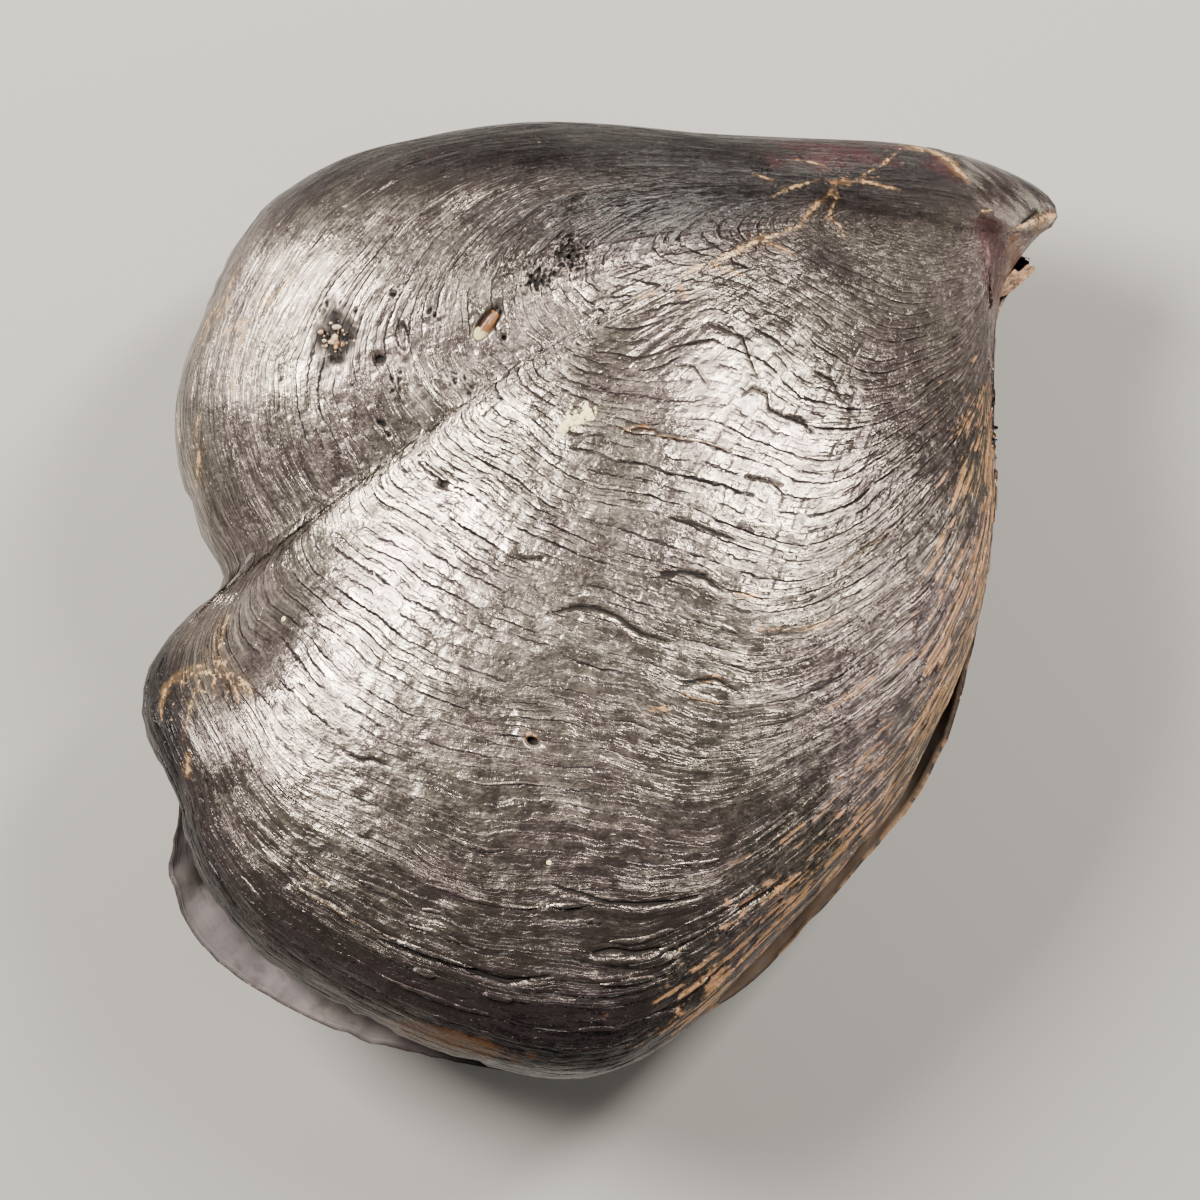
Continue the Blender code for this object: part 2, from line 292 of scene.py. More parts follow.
rightValve = {
    "name": "right_valve_shell",
    "outline": rightMargin,
    "crown": (3.5, 9),
    "facing": 1,
    "rings": 262,
    "innerRings": 26,
    "spokes": 258,
    "seed": 11,
}
leftValve = {
    "name": "left_valve_shell",
    "outline": leftMargin,
    "crown": (-26, 22),
    "facing": -1,
    "rings": 236,
    "innerRings": 60,
    "spokes": 250,
    "seed": 71,
    # where the lip is flat, and how wide it is there
    "flare": [
        (-103, -62, 7.5), (-95, -84, 8), (-78, -97, 7), (-58, -106, 4), (83, -34, 3), (66, -60, 4),
        (53, -76, 4), (37, -92, 4), (18, -105, 3),
    ],
    "flareReach": 20,
}
wall = {"thickness": 3.2, "least": 0.5, "lipShare": 0.3, "lipWidth": 12, "chips": 0.9}
layers = {
    "spacing": (2.2, 5.4),  # growth between the free edges of two layers
    "sway": ((30, 2.2), (9, 0.7), (3.6, 0.2)),  # how far and how often an edge wanders
    "height": (0.3, 1.0),
    "majorShare": 0.2,
    "majorHeight": 1.6,
    "strength": 0.2,
    "drop": 0.16,  # share of a layer in which it falls to the next one
    "count": 90,
}
for valve in (rightValve, leftValve):
    valve["curve"], valve["around"] = closedSpline(valve["outline"])
    valve["insets"] = insetTable(valve["curve"])
    chance = np.random.default_rng(valve["seed"])
    valve["layerPlaces"] = np.cumsum(chance.uniform(*layers["spacing"], layers["count"]))
    major = chance.random(layers["count"]) < layers["majorShare"]
    minorHeights = chance.uniform(*layers["height"], layers["count"])
    valve["layerHeights"] = np.where(major, layers["majorHeight"], minorHeights)

# round holes bored in the right valve: place, half length, half width, depth, angle in degrees
boredHoles = [
    (-36, 26, 1.05, 0.95, 2.9, 0),
    (-50.5, 54.3, 1.35, 1.05, 2.9, 5),
    (-47.4, 69.3, 0.9, 0.55, 1.6, 0),
    (-50, 39.5, 1.3, 0.6, 1.4, -25),
    (-21.8, 59, 0.6, 0.6, 1.4, 0),
    (-48.2, 36.7, 0.55, 0.45, 1.0, 0),
    (-38.8, 65.2, 0.95, 0.55, 0.8, 55),
    (-37.6, 64.2, 0.5, 0.45, 0.9, 0),
    (-56, 65.5, 0.5, 0.5, 1.0, 0),
    (-15.2, -32.8, 1.5, 1.0, 2.2, -20),
    (-63.5, 60.5, 0.6, 0.6, 1.0, 0),
    (-25.5, 62.6, 4.5, 1.7, 2.7, 53),
]
# splits along the layer edges of the right valve: half width, rise of the next layer, points
cracks = [
    (0.23, 0.14, [(24, 62.5), (28, 61), (32.5, 59), (34, 54.5), (36, 49.5)]),
    (0.11, 0.06, [(17, 52.5), (21.5, 52), (24.5, 47.5)]),
    (0.18, 0.11, [(5, 37), (9, 38), (12.5, 37.5), (15.5, 35.5)]),
    (0.18, 0.11, [(32, 45.5), (34.5, 47.5), (38, 46), (38.5, 42.5), (41.5, 41)]),
    (0.16, 0.11, [(42, 41), (45.5, 40.5), (48.5, 37)]),
    (0.16, 0.11, [(32.5, 27), (37.5, 26.5), (41.5, 25)]),
    (0.34, 0.22, [(13.5, 5), (19, 5.5), (23.5, 4.5), (28, 1)]),
    (0.34, 0.25, [(-12.5, -4), (-5.5, -2.5), (-0.5, -2.5), (4, -4.5), (9, -8.5), (16.5, -10.5)]),
    (0.18, 0.11, [(15.5, 18), (23.5, 15.5), (31, 12.5)]),
    (0.16, 0.08, [(-18.5, 8.5), (-12.5, 8.5)]),
    (0.29, 0.22, [(18, -20), (22, -19), (26, -18.5), (31, -21.5)]),
    (0.16, 0.11, [(49, 51.5), (53, 49.5), (54.5, 45.5), (57, 42.5)]),
    (0.21, 0.14, [(-58, -35.5), (-54.5, -37), (-51, -37), (-48, -38.5)]),
    (0.38, 0.39, [(-11, -65.5), (-5.5, -67), (2, -69.5), (9, -70), (17, -69.5), (23, -68)]),
    (0.47, 0.61, [(-50.5, -78.5), (-44.5, -80.5), (-38, -82.5), (-32, -84), (-26.5, -86.5), (-21, -88),
                (-16, -87), (-11, -86.5)]),
    (0.51, 0.83, [(-2, -81.5), (3, -80.5), (8, -81.5), (13.5, -80.5), (18, -81)]),
    (0.34, 0.5, [(17, -81), (24, -76.5), (32, -71.5), (42, -65.5)]),
    (0.27, 0.44, [(10, -97), (18, -94.5), (24, -90), (30, -84)]),
    (0.34, 0.17, [(100.2, 89.2), (102.5, 91), (105, 93)]),
]
# long hollows near the margin: half width, depth, points
grooves = [
    (1.5, 1.5, [(83, -2.5), (81, -15), (77, -27), (71, -39.5), (65.5, -53), (57, -67.5), (47, -78.5),
                (38, -88.5), (28.5, -96)]),
    (0.9, 1.0, [(88, 8), (87, -4), (84, -16), (79, -28), (74, -37)]),
    (1.0, 1.2, [(-103.5, -10), (-105, -15), (-104.5, -20), (-103, -25.5), (-102, -31), (-99, -37.5),
                (-97, -46)]),
    (1.1, 1.4, [(-98, 31.5), (-97, 28.5), (-96, 25), (-94.5, 20), (-92.5, 14.5)]),
    (0.5, 0.4, [(-46.5, 62.5), (-44, 65.5), (-41, 67)]),
    (0.6, 0.5, [(-42, 58), (-43.5, 53.5), (-43, 49), (-41.5, 44.5), (-39.5, 41)]),
]
# light lines of worn layer edges on the right valve: half width, warmth from cream to red, points
veins = [
    (0.31, 0.35, [(-68.5, 76), (-70.5, 73.5), (-73.5, 70.5), (-77.5, 68.5), (-79.5, 65.5), (-82, 61.5)]),
    (0.25, 0.3, [(-79.5, 65.5), (-82, 61.5), (-84.5, 57), (-85.5, 52), (-84.5, 47.5), (-84, 44)]),
    (0.22, 0.7, [(-77.5, 67.5), (-77.5, 70.5), (-78, 73.5)]),
    (0.28, 0.2, [(-79.5, 65.5), (-83, 63.5), (-86.5, 62), (-89.5, 60.5)]),
    (0.25, 0.45, [(-83, 78.5), (-85, 76.5), (-86.5, 73), (-86, 69.5), (-88.5, 66.5), (-90.5, 64)]),
    (0.43, 0.2, [(-89, 70), (-90.5, 67.5), (-93, 63), (-95, 59.5)]),
    (0.22, 0.5, [(-75.5, 79), (-77.5, 77)]),
    (0.28, 0.7, [(-93.5, 43), (-94, 41), (-94.5, 39)]),
    (0.5, 0.35, [(-94.5, 36.5), (-93.5, 33), (-94.5, 29.5), (-95, 25.5)]),
    (0.31, 0.1, [(-100, 44), (-99.5, 40), (-99, 35)]),
    (0.25, 0.5, [(-91.5, 59), (-92, 57.5), (-93, 54)]),
    (0.37, 0.5, [(-89, -15.5), (-88, -12.5), (-89, -10), (-88, -7.5), (-87, -3)]),
    (0.56, 0.4, [(-87.5, -14), (-92.5, -15.5), (-95.5, -16.5), (-99, -18.5), (-101.5, -21), (-102.5, -25),
                (-102.5, -29)]),
    (0.43, 0.4, [(-90, -14.5), (-86, -17), (-83.5, -18), (-81, -19.5), (-80, -22), (-79, -25)]),
    (0.5, 0.6, [(-87.5, -16), (-83.5, -21), (-83, -25)]),
    (0.31, 0.15, [(-89, -15), (-89.5, -19.5), (-89, -23.5)]),
    (0.25, 0.15, [(-90, -14.5), (-93, -19), (-95, -26), (-96, -33)]),
    (0.68, 0.4, [(-95.2, -35), (-95, -38.5), (-95, -42)]),
    (0.27, 0.45, [(56, 97.5), (53, 93.5), (49, 90), (46.5, 86), (42, 84)]),
    (0.42, 0.12, [(45, 85.5), (42, 84), (37.5, 82.5), (33, 80.5), (28.5, 78), (24.5, 76)]),
    (0.31, 0.2, [(28.5, 78), (24.5, 76), (21, 75), (18, 72.5)]),
    (0.31, 0.5, [(36.5, 83), (41.5, 80.5), (45.5, 78.5)]),
    (0.27, 0.8, [(24.5, 77), (29, 75), (33.5, 73.5)]),
    (0.15, 0.5, [(52.5, 87.5), (54.5, 91.5), (55.5, 95)]),
    (0.19, 0.3, [(52, 88.5), (55.5, 86.5), (56.5, 83)]),
    (0.31, 1.0, [(53.5, 96.8), (58, 97), (61.5, 97.8)]),
    (0.27, 0.25, [(60, 97.5), (65.5, 96.5), (71, 95.5)]),
    (0.27, 0.9, [(18, 71.5), (20, 68)]),
    (0.8, 0.3, [(75.5, 108), (79.5, 106), (82.5, 104), (84.5, 101.5), (87.5, 98)]),
    (0.35, 0.4, [(71, 107.8), (74, 107.3), (78, 106.5)]),
    (0.23, 0.2, [(7.5, 68), (13.5, 69.5)]),
    (0.10, 0.0, [(44, 102.5), (49.5, 102), (52.5, 101), (55, 99)]),
    (0.10, 0.0, [(39, 92.5), (45, 95.5), (49, 96.5), (54, 99)]),
    (0.10, 0.1, [(59, 96.5), (62.5, 99.5), (65.5, 101), (71, 106)]),
    (0.11, 0.0, [(35, 98.5), (38, 98), (41, 96.5)]),
    (0.28, 0.7, [(35, -7), (39, -7.3), (43, -7.5), (49, -7), (55.5, -4.5)]),
    (0.31, 0.6, [(51.5, -25.5), (57, -22), (62.5, -17.5)]),
    (0.19, 0.9, [(5, 37.5), (9, 38.3), (13, 37)]),
    (0.31, 0.6, [(22, -19.5), (26, -17.8), (29.5, -20)]),
    (0.37, 0.6, [(10.5, -26.5), (13, -25.2), (15.5, -25.5)]),
    (0.31, 0.6, [(-17.5, -32.5), (-15.5, -30.6), (-13, -33)]),
    (0.31, 0.75, [(30, 0.8), (33, 0), (36, 0.8)]),
    (0.43, 0.15, [(90, 91.5), (92.5, 91.8)]),
    (0.93, 0.4, [(99, 88.5), (102.5, 89.6), (106, 91.3), (111, 92.2)]),
    (0.5, 0.2, [(-45, -108.3), (-38, -110.3), (-30, -112.2)]),
]
# groups of small pits: centre, spread, count
pitGroups = [
    ((-6.5, 78.5), (3.6, 4.2), 95),
    ((-14.5, 72.5), (4.4, 3.6), 70),
    ((-46.5, 49), (4, 2.4), 16),
    ((-31, 48.5), (3.5, 2.5), 12),
    ((-63, 66), (3.5, 3), 8),
]
pits = {"radius": (0.2, 0.5), "scatter": 0.55, "depth": 1.1, "seed": 5}
grainPit = {"centre": (-60.3, 59.4), "size": (4.6, 5.8), "angle": -20, "depth": 1.3}
ovalPit = {"centre": (-45.1, 59.5), "size": (1.35, 3.1), "angle": 12, "depth": 0.5}
beakLine = [(86, 109), (86, 102), (87, 98), (89, 94.5), (88, 92.5), (91, 91), (94.5, 89.5), (99, 87.5)]
lowerLip = [(-103, -20), (-97, -52), (-84, -80), (-62, -98), (-36, -108)]
rust = {
    "line": [(95, 40), (94, 22), (89, -3), (80, -30), (69, -51), (38, -86), (22, -101)],
    "reach": 18,  # of the tan dashes
    "stripReach": 12,
}
farAway = 50.0  # the distance to a mark where there is none near
# soft stained areas, where the dark ones are partly painted shade on the steep top band and the lower lobe's
# underside: centre, half length, half width, degrees, strength
stainsAndShade = {
    # dark: partly brown-black stain, partly painted shade where the top band and the bottom face away from
    # the lamps
    "dark": [
        ((34, 103), 66, 12, -2, 1.0), ((20, 93), 44, 12, 10, 0.85), ((52, 79), 12, 5, -35, 0.4),
        ((-16, 107), 52, 11, 2, 1.0), ((-58, 103), 26, 7, 22, 0.7), ((-4, 92), 24, 7, 12, 0.3),
        ((-8, -104), 44, 12, 2, 0.45), ((-60, -88), 34, 8, -25, 0.2), ((-93, -60), 36, 3.2, -66, 0.65),
        ((-62, -98), 22, 3.2, -32, 0.65),
        ((-103, -25), 4, 22, 12, 0.8), ((102, 100), 14, 3.2, -24, 0.9),
    ],
    "red": [
        ((54, 105), 17, 8, 0, 0.75), ((81, 102), 6, 4, -35, 0.8), ((93.5, 82), 5, 13, 6, 1.0),
        ((70, 107), 12, 3, 0, 0.6), ((-24, -102), 5, 4, 0, 0.5), ((18, 68.5), 3, 2, -40, 0.5),
    ],
    "amber": [
        ((98.8, 80), 2.8, 9.5, 8, 0.8), ((-36, -104), 19, 4.6, -12, 1.0), ((104, 88), 5, 2.2, 25, 0.55),
        ((95.5, 70), 2.0, 9, 4, 0.5),
    ],
    "matte": [
        ((28, 50), 11, 7, 0, 0.9), ((-84, 60), 14, 16, 0, 0.5), ((-92, -18), 8, 12, 0, 0.4),
    ],
}


def turned(plan, centre, degrees):
    angle = math.radians(degrees)
    offset = plan - centre
    return np.column_stack([offset[:, 0] * math.cos(angle) + offset[:, 1] * math.sin(angle),
                            -offset[:, 0] * math.sin(angle) + offset[:, 1] * math.cos(angle)])


def ovalShare(plan, centre, halfLength, halfWidth, degrees):
    # 0 in the middle of an oval and 1 at its edge
    return np.linalg.norm(turned(plan, centre, degrees) / (halfLength, halfWidth), axis=1)


def stainAndShadeShare(plan, name):
    share = np.zeros(len(plan))
    for centre, halfLength, halfWidth, degrees, strength in stainsAndShade[name]:
        oval = ovalShare(plan, centre, halfLength, halfWidth, degrees)
        share = np.maximum(share, strength * np.exp(-0.9 * oval ** 2))
    return share


def nearestLine(plan, lines):
    # signed distance to the nearest line, with that line's half width, which is 0 at its ends
    # and away from it, and its other value
    away = np.full(len(plan), 1e3)
    signed = np.full(len(plan), farAway)
    width = np.zeros(len(plan))
    other = np.zeros(len(plan))
    for halfWidth, value, line in lines:
        reach = 6 + 3 * halfWidth
        low, high = np.min(line, axis=0) - reach, np.max(line, axis=0) + reach
        near = np.flatnonzero(np.all((plan > low) & (plan < high), axis=1))
        if not len(near):
            continue
        distance, side, share = alongLine(plan[near], line)
        closer = distance < away[near]
        chosen, distance, side, share = near[closer], distance[closer], side[closer], share[closer]
        away[chosen] = distance
        signed[chosen] = distance * np.where(side == 0, 1, side)
        taper = np.sqrt(np.maximum(np.sin(math.pi * share), 0))
        width[chosen] = halfWidth * taper * smoothStep(2.4 + 2 * halfWidth, 1.4 + halfWidth, distance)
        other[chosen] = value
    return signed, width, other


def lipFlare(valve, edge):
    # how wide the flat outer lip is, along the margin
    wide = np.zeros(len(edge))
    for x, y, width in valve.get("flare", ()):
        away = np.linalg.norm(edge - (x, y), axis=1)
        wide = np.maximum(wide, width * np.exp(-(away / valve["flareReach"]) ** 2))
    return wide


def smoothSurface(valve, size, turn):
    # the valve without its fine relief: places, growth distance and inset
    edge = onMargin(valve["curve"], turn)[0]
    plan = growthPlan(edge, size)
    inset = readInset(valve["insets"], size, turn)
    flare = lipFlare(valve, edge)
    past = inset - flare
    eased = (np.sqrt(past ** 2 + 4) + past) / 2 - (np.sqrt(flare ** 2 + 4) - flare) / 2
    height = heightOver(plan, np.where(flare > 0.05, np.maximum(eased, 0), inset), valve["crown"])
    height += 0.12 * np.minimum(inset, flare)
    height[size > 0.99999] = 0
    return np.column_stack([plan, height]), inset, edge


def surfaceNormal(valve, size, turn, places):
    # the normal, and the millimetres that the surface runs for one of growth
    small = 0.0012
    back = smoothSurface(valve, np.clip(size - small, 0.0005, 1), turn)[0]
    aside = smoothSurface(valve, np.minimum(size, 0.99998), turn + small)[0]
    normal = np.cross(aside - places, places - back)
    length = np.linalg.norm(normal, axis=1)[:, None]
    normal = np.where(length > 1e-9, normal / np.maximum(length, 1e-9), (0, 0, 1))
    pace = np.linalg.norm(places - back, axis=1) / (small * growth["reach"])
    return np.where(normal[:, 2:] < -0.02, -normal, normal), pace


def roughZone(plan):
    # how coarse and broken the layers are: most on the right side and the lower lobe's edge
    rightSide = smoothStep(34, 78, plan[:, 0] - 0.25 * plan[:, 1]) * smoothStep(78, 40, plan[:, 1])
    bottom = smoothStep(-38, -84, plan[:, 1])
    leftBulge = smoothStep(-78, -100, plan[:, 0]) * smoothStep(12, -10, plan[:, 1])
    nearLip = np.exp(-(alongLine(plan, lowerLip)[0] / 17) ** 2)
    return np.clip(np.maximum.reduce([rightSide, bottom * 0.9, leftBulge * 0.7, nearLip * 0.95]), 0, 1)


def layerSway(valve, size, plan):
    # lines run evenly along the steep sides, where little growth covers much surface
    sway = sum(reach * softNoise(plan, scale, valve["seed"] + 30 + index)
               for index, (scale, reach) in enumerate(layers["sway"]))
    return sway * (0.22 + 0.78 * smoothStep(0.99, 0.84, size))


# how the older growth lines stray from the present margin's shape: centre, reach and amount
young = {
    "shape": ((-84, 19), 95, -0.2),  # younger margins lay further out at the left
    "bends": (((32, 74), 29, 20), ((83, -8), 49, -17.5)),  # steeper at the beak, sooner up at the right
}


def mound(plan, centre, reach):
    # 1 at a place and falling to 0 around it
    return np.exp(-(np.linalg.norm(plan - centre, axis=1) / reach) ** 2)


def youngShape(size, edge):
    centre, reach, amount = young["shape"]
    return 1 + amount * mound(edge, centre, reach) * smoothStep(1, 0.86, size)


def growthBend(size, plan):
    bend = sum(amount * mound(plan, centre, reach) for centre, reach, amount in young["bends"])
    return bend * smoothStep(1, 0.85, size)


def layerCount(valve, size, plan, edge):
    # which layer a place belongs to, with the share of the way across it
    growthAt = size * growth["reach"] * youngShape(size, edge) + growthBend(size, plan)
    growthAt = growthAt + layerSway(valve, size, plan)
    count = np.interp(growthAt, valve["layerPlaces"], np.arange(len(valve["layerPlaces"])))
    return np.maximum(count, 0)


def layerPresence(valve, index, edge):
    # a layer's edge shows only here and there along the margin
    spots = np.column_stack([edge / 24, index * 3.7])
    whole = softNoise(spots, 1, valve["seed"] + 3)
    whole += 0.45 * softNoise(spots * (3.2, 3.2, 1), 1, valve["seed"] + 4)
    height = valve["layerHeights"][np.minimum(index.astype(int), len(valve["layerHeights"]) - 1)]
    return height * smoothStep(-0.35, 0.45, whole)


def outerRelief(valve, size, places, edge):
    # height of the fine relief over the smooth surface
    plan = places[:, :2]
    rough = roughZone(plan)
    seed = valve["seed"]
    reach = np.linalg.norm(edge - growth["centre"], axis=1)
    calm = smoothStep(6, 30, np.linalg.norm(plan - growth["centre"], axis=1))
    crowded = np.clip(reach / growth["reach"], 0.3, 1) ** 0.6
    count = layerCount(valve, size, plan, edge)
    index = np.floor(count)
    across = count - index
    drop = layers["drop"]
    rise = np.where(across < 1 - drop, (across / (1 - drop)) ** 2, smoothStep(1, 1 - drop, across))
    presence = layerPresence(valve, index, edge)
    relief = layers["strength"] * presence * rise * crowded * (0.6 + 1.8 * rough) * calm
    relief += 0.9 * softNoise(places, 46, seed + 5) * calm + 0.3 * softNoise(places, 17, seed + 6)
    hammered = smoothStep(-30, -75, plan[:, 0]) * smoothStep(24, -6, plan[:, 1])
    relief += 0.1 * layeredNoise(places, 3.4, seed + 7) * (0.5 + 0.8 * hammered + 0.8 * rough)
    relief *= 1 - 0.5 * smoothStep(0.992, 1, size)
    relief *= 1 - 0.85 * beakShare(plan)
    return relief, rough, count, presence


def beakShare(plan):
    away, side, share = alongLine(plan, beakLine)
    return smoothStep(-0.8, 1.2, -away * side) * smoothStep(60, 80, plan[:, 0])


def rightMarks(plan, relief):
    # holes, cracks and veins of the right valve, and the distances that its finish reads
    # dark is painted shade, black in the bored holes, pits, grain pit and grooves, which the finish reads as
    # the hollow shade
    dark = np.zeros(len(plan))
    for x, y, halfLength, halfWidth, depth, degrees in boredHoles:
        share = ovalShare(plan, (x, y), halfLength, halfWidth, degrees)
        relief -= depth / (1 + share ** 9) - 0.12 * np.exp(-((share - 1.25) / 0.25) ** 2)
        dark = np.maximum(dark, 1 / (1 + (share * 1.05) ** 7))
    chance = np.random.default_rng(pits["seed"])
    for middle, spread, count in pitGroups:
        near = np.flatnonzero(np.linalg.norm((plan - middle) / spread, axis=1) < 3)
        for pit in range(count):
            centre = middle + chance.normal(0, pits["scatter"], 2) * spread
            radius = chance.uniform(*pits["radius"])
            length = radius * chance.uniform(1, 1.5)
            share = ovalShare(plan[near], centre, length, radius, chance.uniform(0, 180))
            rim = 0.12 * np.exp(-((share - 1.5) / 0.4) ** 2)
            relief[near] -= pits["depth"] * radius / (1 + share ** 6) - rim
            dark[near] = np.maximum(dark[near], 0.9 / (1 + share ** 6))
    ragged = 1 + 0.35 * softNoise(plan, 1.8, 31)
    share = ovalShare(plan, grainPit["centre"], *grainPit["size"], grainPit["angle"])
    pit = 1 / (1 + (share * ragged) ** 5)
    relief -= grainPit["depth"] * pit * (0.7 + 0.5 * softNoise(plan, 1.2, 32))
    dark = np.maximum(dark, 0.85 * pit)
    share = ovalShare(plan, ovalPit["centre"], *ovalPit["size"], ovalPit["angle"])
    relief += 0.3 * np.exp(-((share - 1.35) / 0.3) ** 2) - ovalPit["depth"] / (1 + share ** 8)
    crackSide, crackWidth, crackRise = nearestLine(plan, cracks)
    away = np.abs(crackSide)
    gap = crackWidth / np.maximum(crackWidth + 0.05, 0.1)
    relief -= (0.55 + 0.5 * crackRise) * gap * np.exp(-(away / (0.16 + 0.8 * crackWidth)) ** 2)
    beyond = np.maximum(crackSide, 0) / 2.6
    relief += 1.5 * crackRise * gap * beyond * np.exp(1 - beyond) * (crackSide > 0)
    for halfWidth, depth, line in grooves:
        low, high = np.min(line, axis=0) - 8, np.max(line, axis=0) + 8
        near = np.flatnonzero(np.all((plan > low) & (plan < high), axis=1))
        away, side, share = alongLine(plan[near], line)
        faded = np.sqrt(np.maximum(np.sin(math.pi * share), 0))
        deep = faded * np.exp(-(away / halfWidth) ** 2) * (0.7 + 0.5 * softNoise(plan[near], 6, 37))
        relief[near] -= depth * deep
        dark[near] = np.maximum(dark[near], 0.6 * deep)
    veinSide, veinWidth, warmth = nearestLine(plan, veins)
    relief += 0.28 * np.minimum(veinWidth, 0.8) * np.exp(-(veinSide / (0.5 + veinWidth)) ** 2)
    return relief, dark, (crackSide, crackWidth, stainAndShadeShare(plan, "matte")), (veinSide, veinWidth, warmth)


def openedValve(places, facing):
    # each valve is turned a little about the hinge and lifted off the middle plane
    front, back = (np.array((*end, 0.0)) for end in hinge["ends"])
    axis = Vector(back - front).normalized()
    turn = np.array(Matrix.Rotation(facing * hinge["gape"], 3, axis))
    moved = (places * (1, 1, facing) - front) @ turn.T + front
    moved[:, 2] += facing * hinge["gap"]
    return moved


def selectFaces(item, chosen):
    for kind in (item.data.vertices, item.data.edges, item.data.polygons):
        kind.foreach_set("select", np.zeros(len(kind), bool))
    item.data.polygons.foreach_set("select", chosen)


def faceCentres(mesh):
    centres = np.empty(len(mesh.polygons) * 3)
    mesh.polygons.foreach_get("center", centres)
    return centres.reshape(-1, 3)


def vertexPlaces(mesh):
    places = np.empty(len(mesh.vertices) * 3)
    mesh.vertices.foreach_get("co", places)
    return places.reshape(-1, 3)


def setPlaces(mesh, places):
    mesh.vertices.foreach_set("co", np.asarray(places, np.float32).ravel())
    mesh.update()


def addGrid(name, columns, rows):
    bpy.ops.object.select_all(action="DESELECT")
    bpy.ops.mesh.primitive_grid_add(x_subdivisions=columns, y_subdivisions=rows, size=2)
    item = bpy.context.object
    item.name = name
    item.data.name = name
    return item


def refine(item, chosen):
    # more faces where small marks need them
    selectFaces(item, chosen)
    bpy.ops.object.mode_set(mode="EDIT")
    bpy.ops.mesh.select_mode(type="FACE")
    bpy.ops.mesh.subdivide(number_cuts=1)
    bpy.ops.object.mode_set(mode="OBJECT")


def mergeAndTurnOut(item, distance=0.0005):
    bpy.ops.object.mode_set(mode="EDIT")
    bpy.ops.mesh.select_all(action="SELECT")
    bpy.ops.mesh.remove_doubles(threshold=distance)
    bpy.ops.mesh.normals_make_consistent(inside=False)
    bpy.ops.object.mode_set(mode="OBJECT")
    item.data.shade_smooth()


def gridShares(valve, places):
    # shares across the sheet: growth size on the outer and on the inner side, and the turn
    outerShare = valve["rings"] / (valve["rings"] + valve["innerRings"])
    across = (places[:, 0] + 1) / 2
    turn = (places[:, 1] + 1) / 2
    outside = across <= outerShare + 1e-7
    fromLip = np.where(outside, 1 - across / outerShare, (across - outerShare) / (1 - outerShare))
    size = 1 - np.clip(fromLip, 0, 1) ** ringEase
    return size, turn, outside


def storeVector(mesh, name, columns):
    attribute = mesh.attributes.new(name, "FLOAT_VECTOR", "POINT")
    attribute.data.foreach_set("vector", np.column_stack(columns).astype(np.float32).ravel())


def storeFinish(mesh, size, edge, plan, count, presence, tip, pace, rough, dark, crack, vein, inside):
    # what the finish reads at each point, three values to a name, as storedParts lists them
    spacing = pace * np.mean(layers["spacing"])
    rusty = np.exp(-(alongLine(plan, rust["line"])[0] / rust["reach"]) ** 2)
    storeVector(mesh, "growth", (edge[:, 0], edge[:, 1], size * growth["reach"]))
    storeVector(mesh, "layers", (count, presence, tip))
    storeVector(mesh, "tone", (rusty, inside, beakShare(plan)))
    storeVector(mesh, "shadeAndWear", (dark, rough, spacing))
    # the dark share holds stains and painted shade alike
    storeVector(mesh, "stainAndShade", [stainAndShadeShare(plan, name) for name in ("dark", "red", "amber")])
    storeVector(mesh, "crack", crack)
    storeVector(mesh, "vein", vein)


def nearMarks(plan, reach):
    close = np.zeros(len(plan), bool)
    for x, y, halfLength, halfWidth, depth, degrees in boredHoles:
        close |= np.linalg.norm(plan - (x, y), axis=1) < halfLength + reach
    for middle, spread, count in pitGroups:
        close |= np.linalg.norm((plan - middle) / spread, axis=1) < 1 + 0.2 * reach
    close |= ovalShare(plan, grainPit["centre"], *grainPit["size"], grainPit["angle"]) < 1 + 0.3 * reach
    close |= ovalShare(plan, ovalPit["centre"], *ovalPit["size"], ovalPit["angle"]) < 1.3 + 0.6 * reach
    signed, width, rise = nearestLine(plan, cracks)
    close |= (width > 0) & (np.abs(signed) < width + reach)
    return close


def lipChips(valve, size, edge, outside):
    # how far the lip is chipped back
    seed = valve["seed"]
    chips = smoothStep(0.05, 0.7, softNoise(edge, 5, seed + 8) + 0.3 * softNoise(edge, 1.7, seed + 9))
    broken = np.where(outside, smoothStep(0.985, 1, size), smoothStep(0.97, 1, size)) * chips
    inward = growth["centre"] - edge
    inward /= np.linalg.norm(inward, axis=1)[:, None]
    return inward * (wall["chips"] * broken)[:, None]


def makeValve(valve):
    # one grid folded at the lip: the outer side with its relief, and the smooth inner wall
    item = addGrid(valve["name"], valve["rings"] + valve["innerRings"], valve["spokes"])
    mesh = item.data
    right = valve["facing"] > 0
    if right:
        for reach in (1.3, 0.5):
            size, turn, outside = gridShares(valve, faceCentres(mesh))
            plan = growthPlan(onMargin(valve["curve"], turn)[0], size)
            refine(item, nearMarks(plan, reach) & outside)
    size, turn, outside = gridShares(valve, vertexPlaces(mesh))
    places, inset, edge = smoothSurface(valve, size, turn)
    plan = places[:, :2]
    normal, pace = surfaceNormal(valve, size, turn, places)
    opened = openedValve(places, valve["facing"])
    valve["low"], valve["high"] = opened.min(axis=0), opened.max(axis=0)
    relief, rough, count, presence = outerRelief(valve, size, places, edge)
    dark = np.zeros(len(size))
    crack = vein = (np.full(len(size), farAway), dark, dark)
    if right:
        relief, dark, crack, vein = rightMarks(plan, relief)
    thickness = wall["thickness"] * np.clip(inset / wall["lipWidth"], wall["lipShare"], 1)
    within = -thickness + 0.12 * softNoise(places, 9, valve["seed"] + 20)
    relief = np.maximum(relief, wall["least"] - thickness)
    moved = places + normal * np.where(outside, relief, within)[:, None]
    moved[:, :2] += lipChips(valve, size, edge, outside)
    setPlaces(mesh, openedValve(moved, valve["facing"]))
    tip = np.zeros(len(size))
    storeFinish(mesh, size, edge, plan, count, presence, tip, pace, rough, dark, crack, vein, ~outside)
    mergeAndTurnOut(item)
    return item


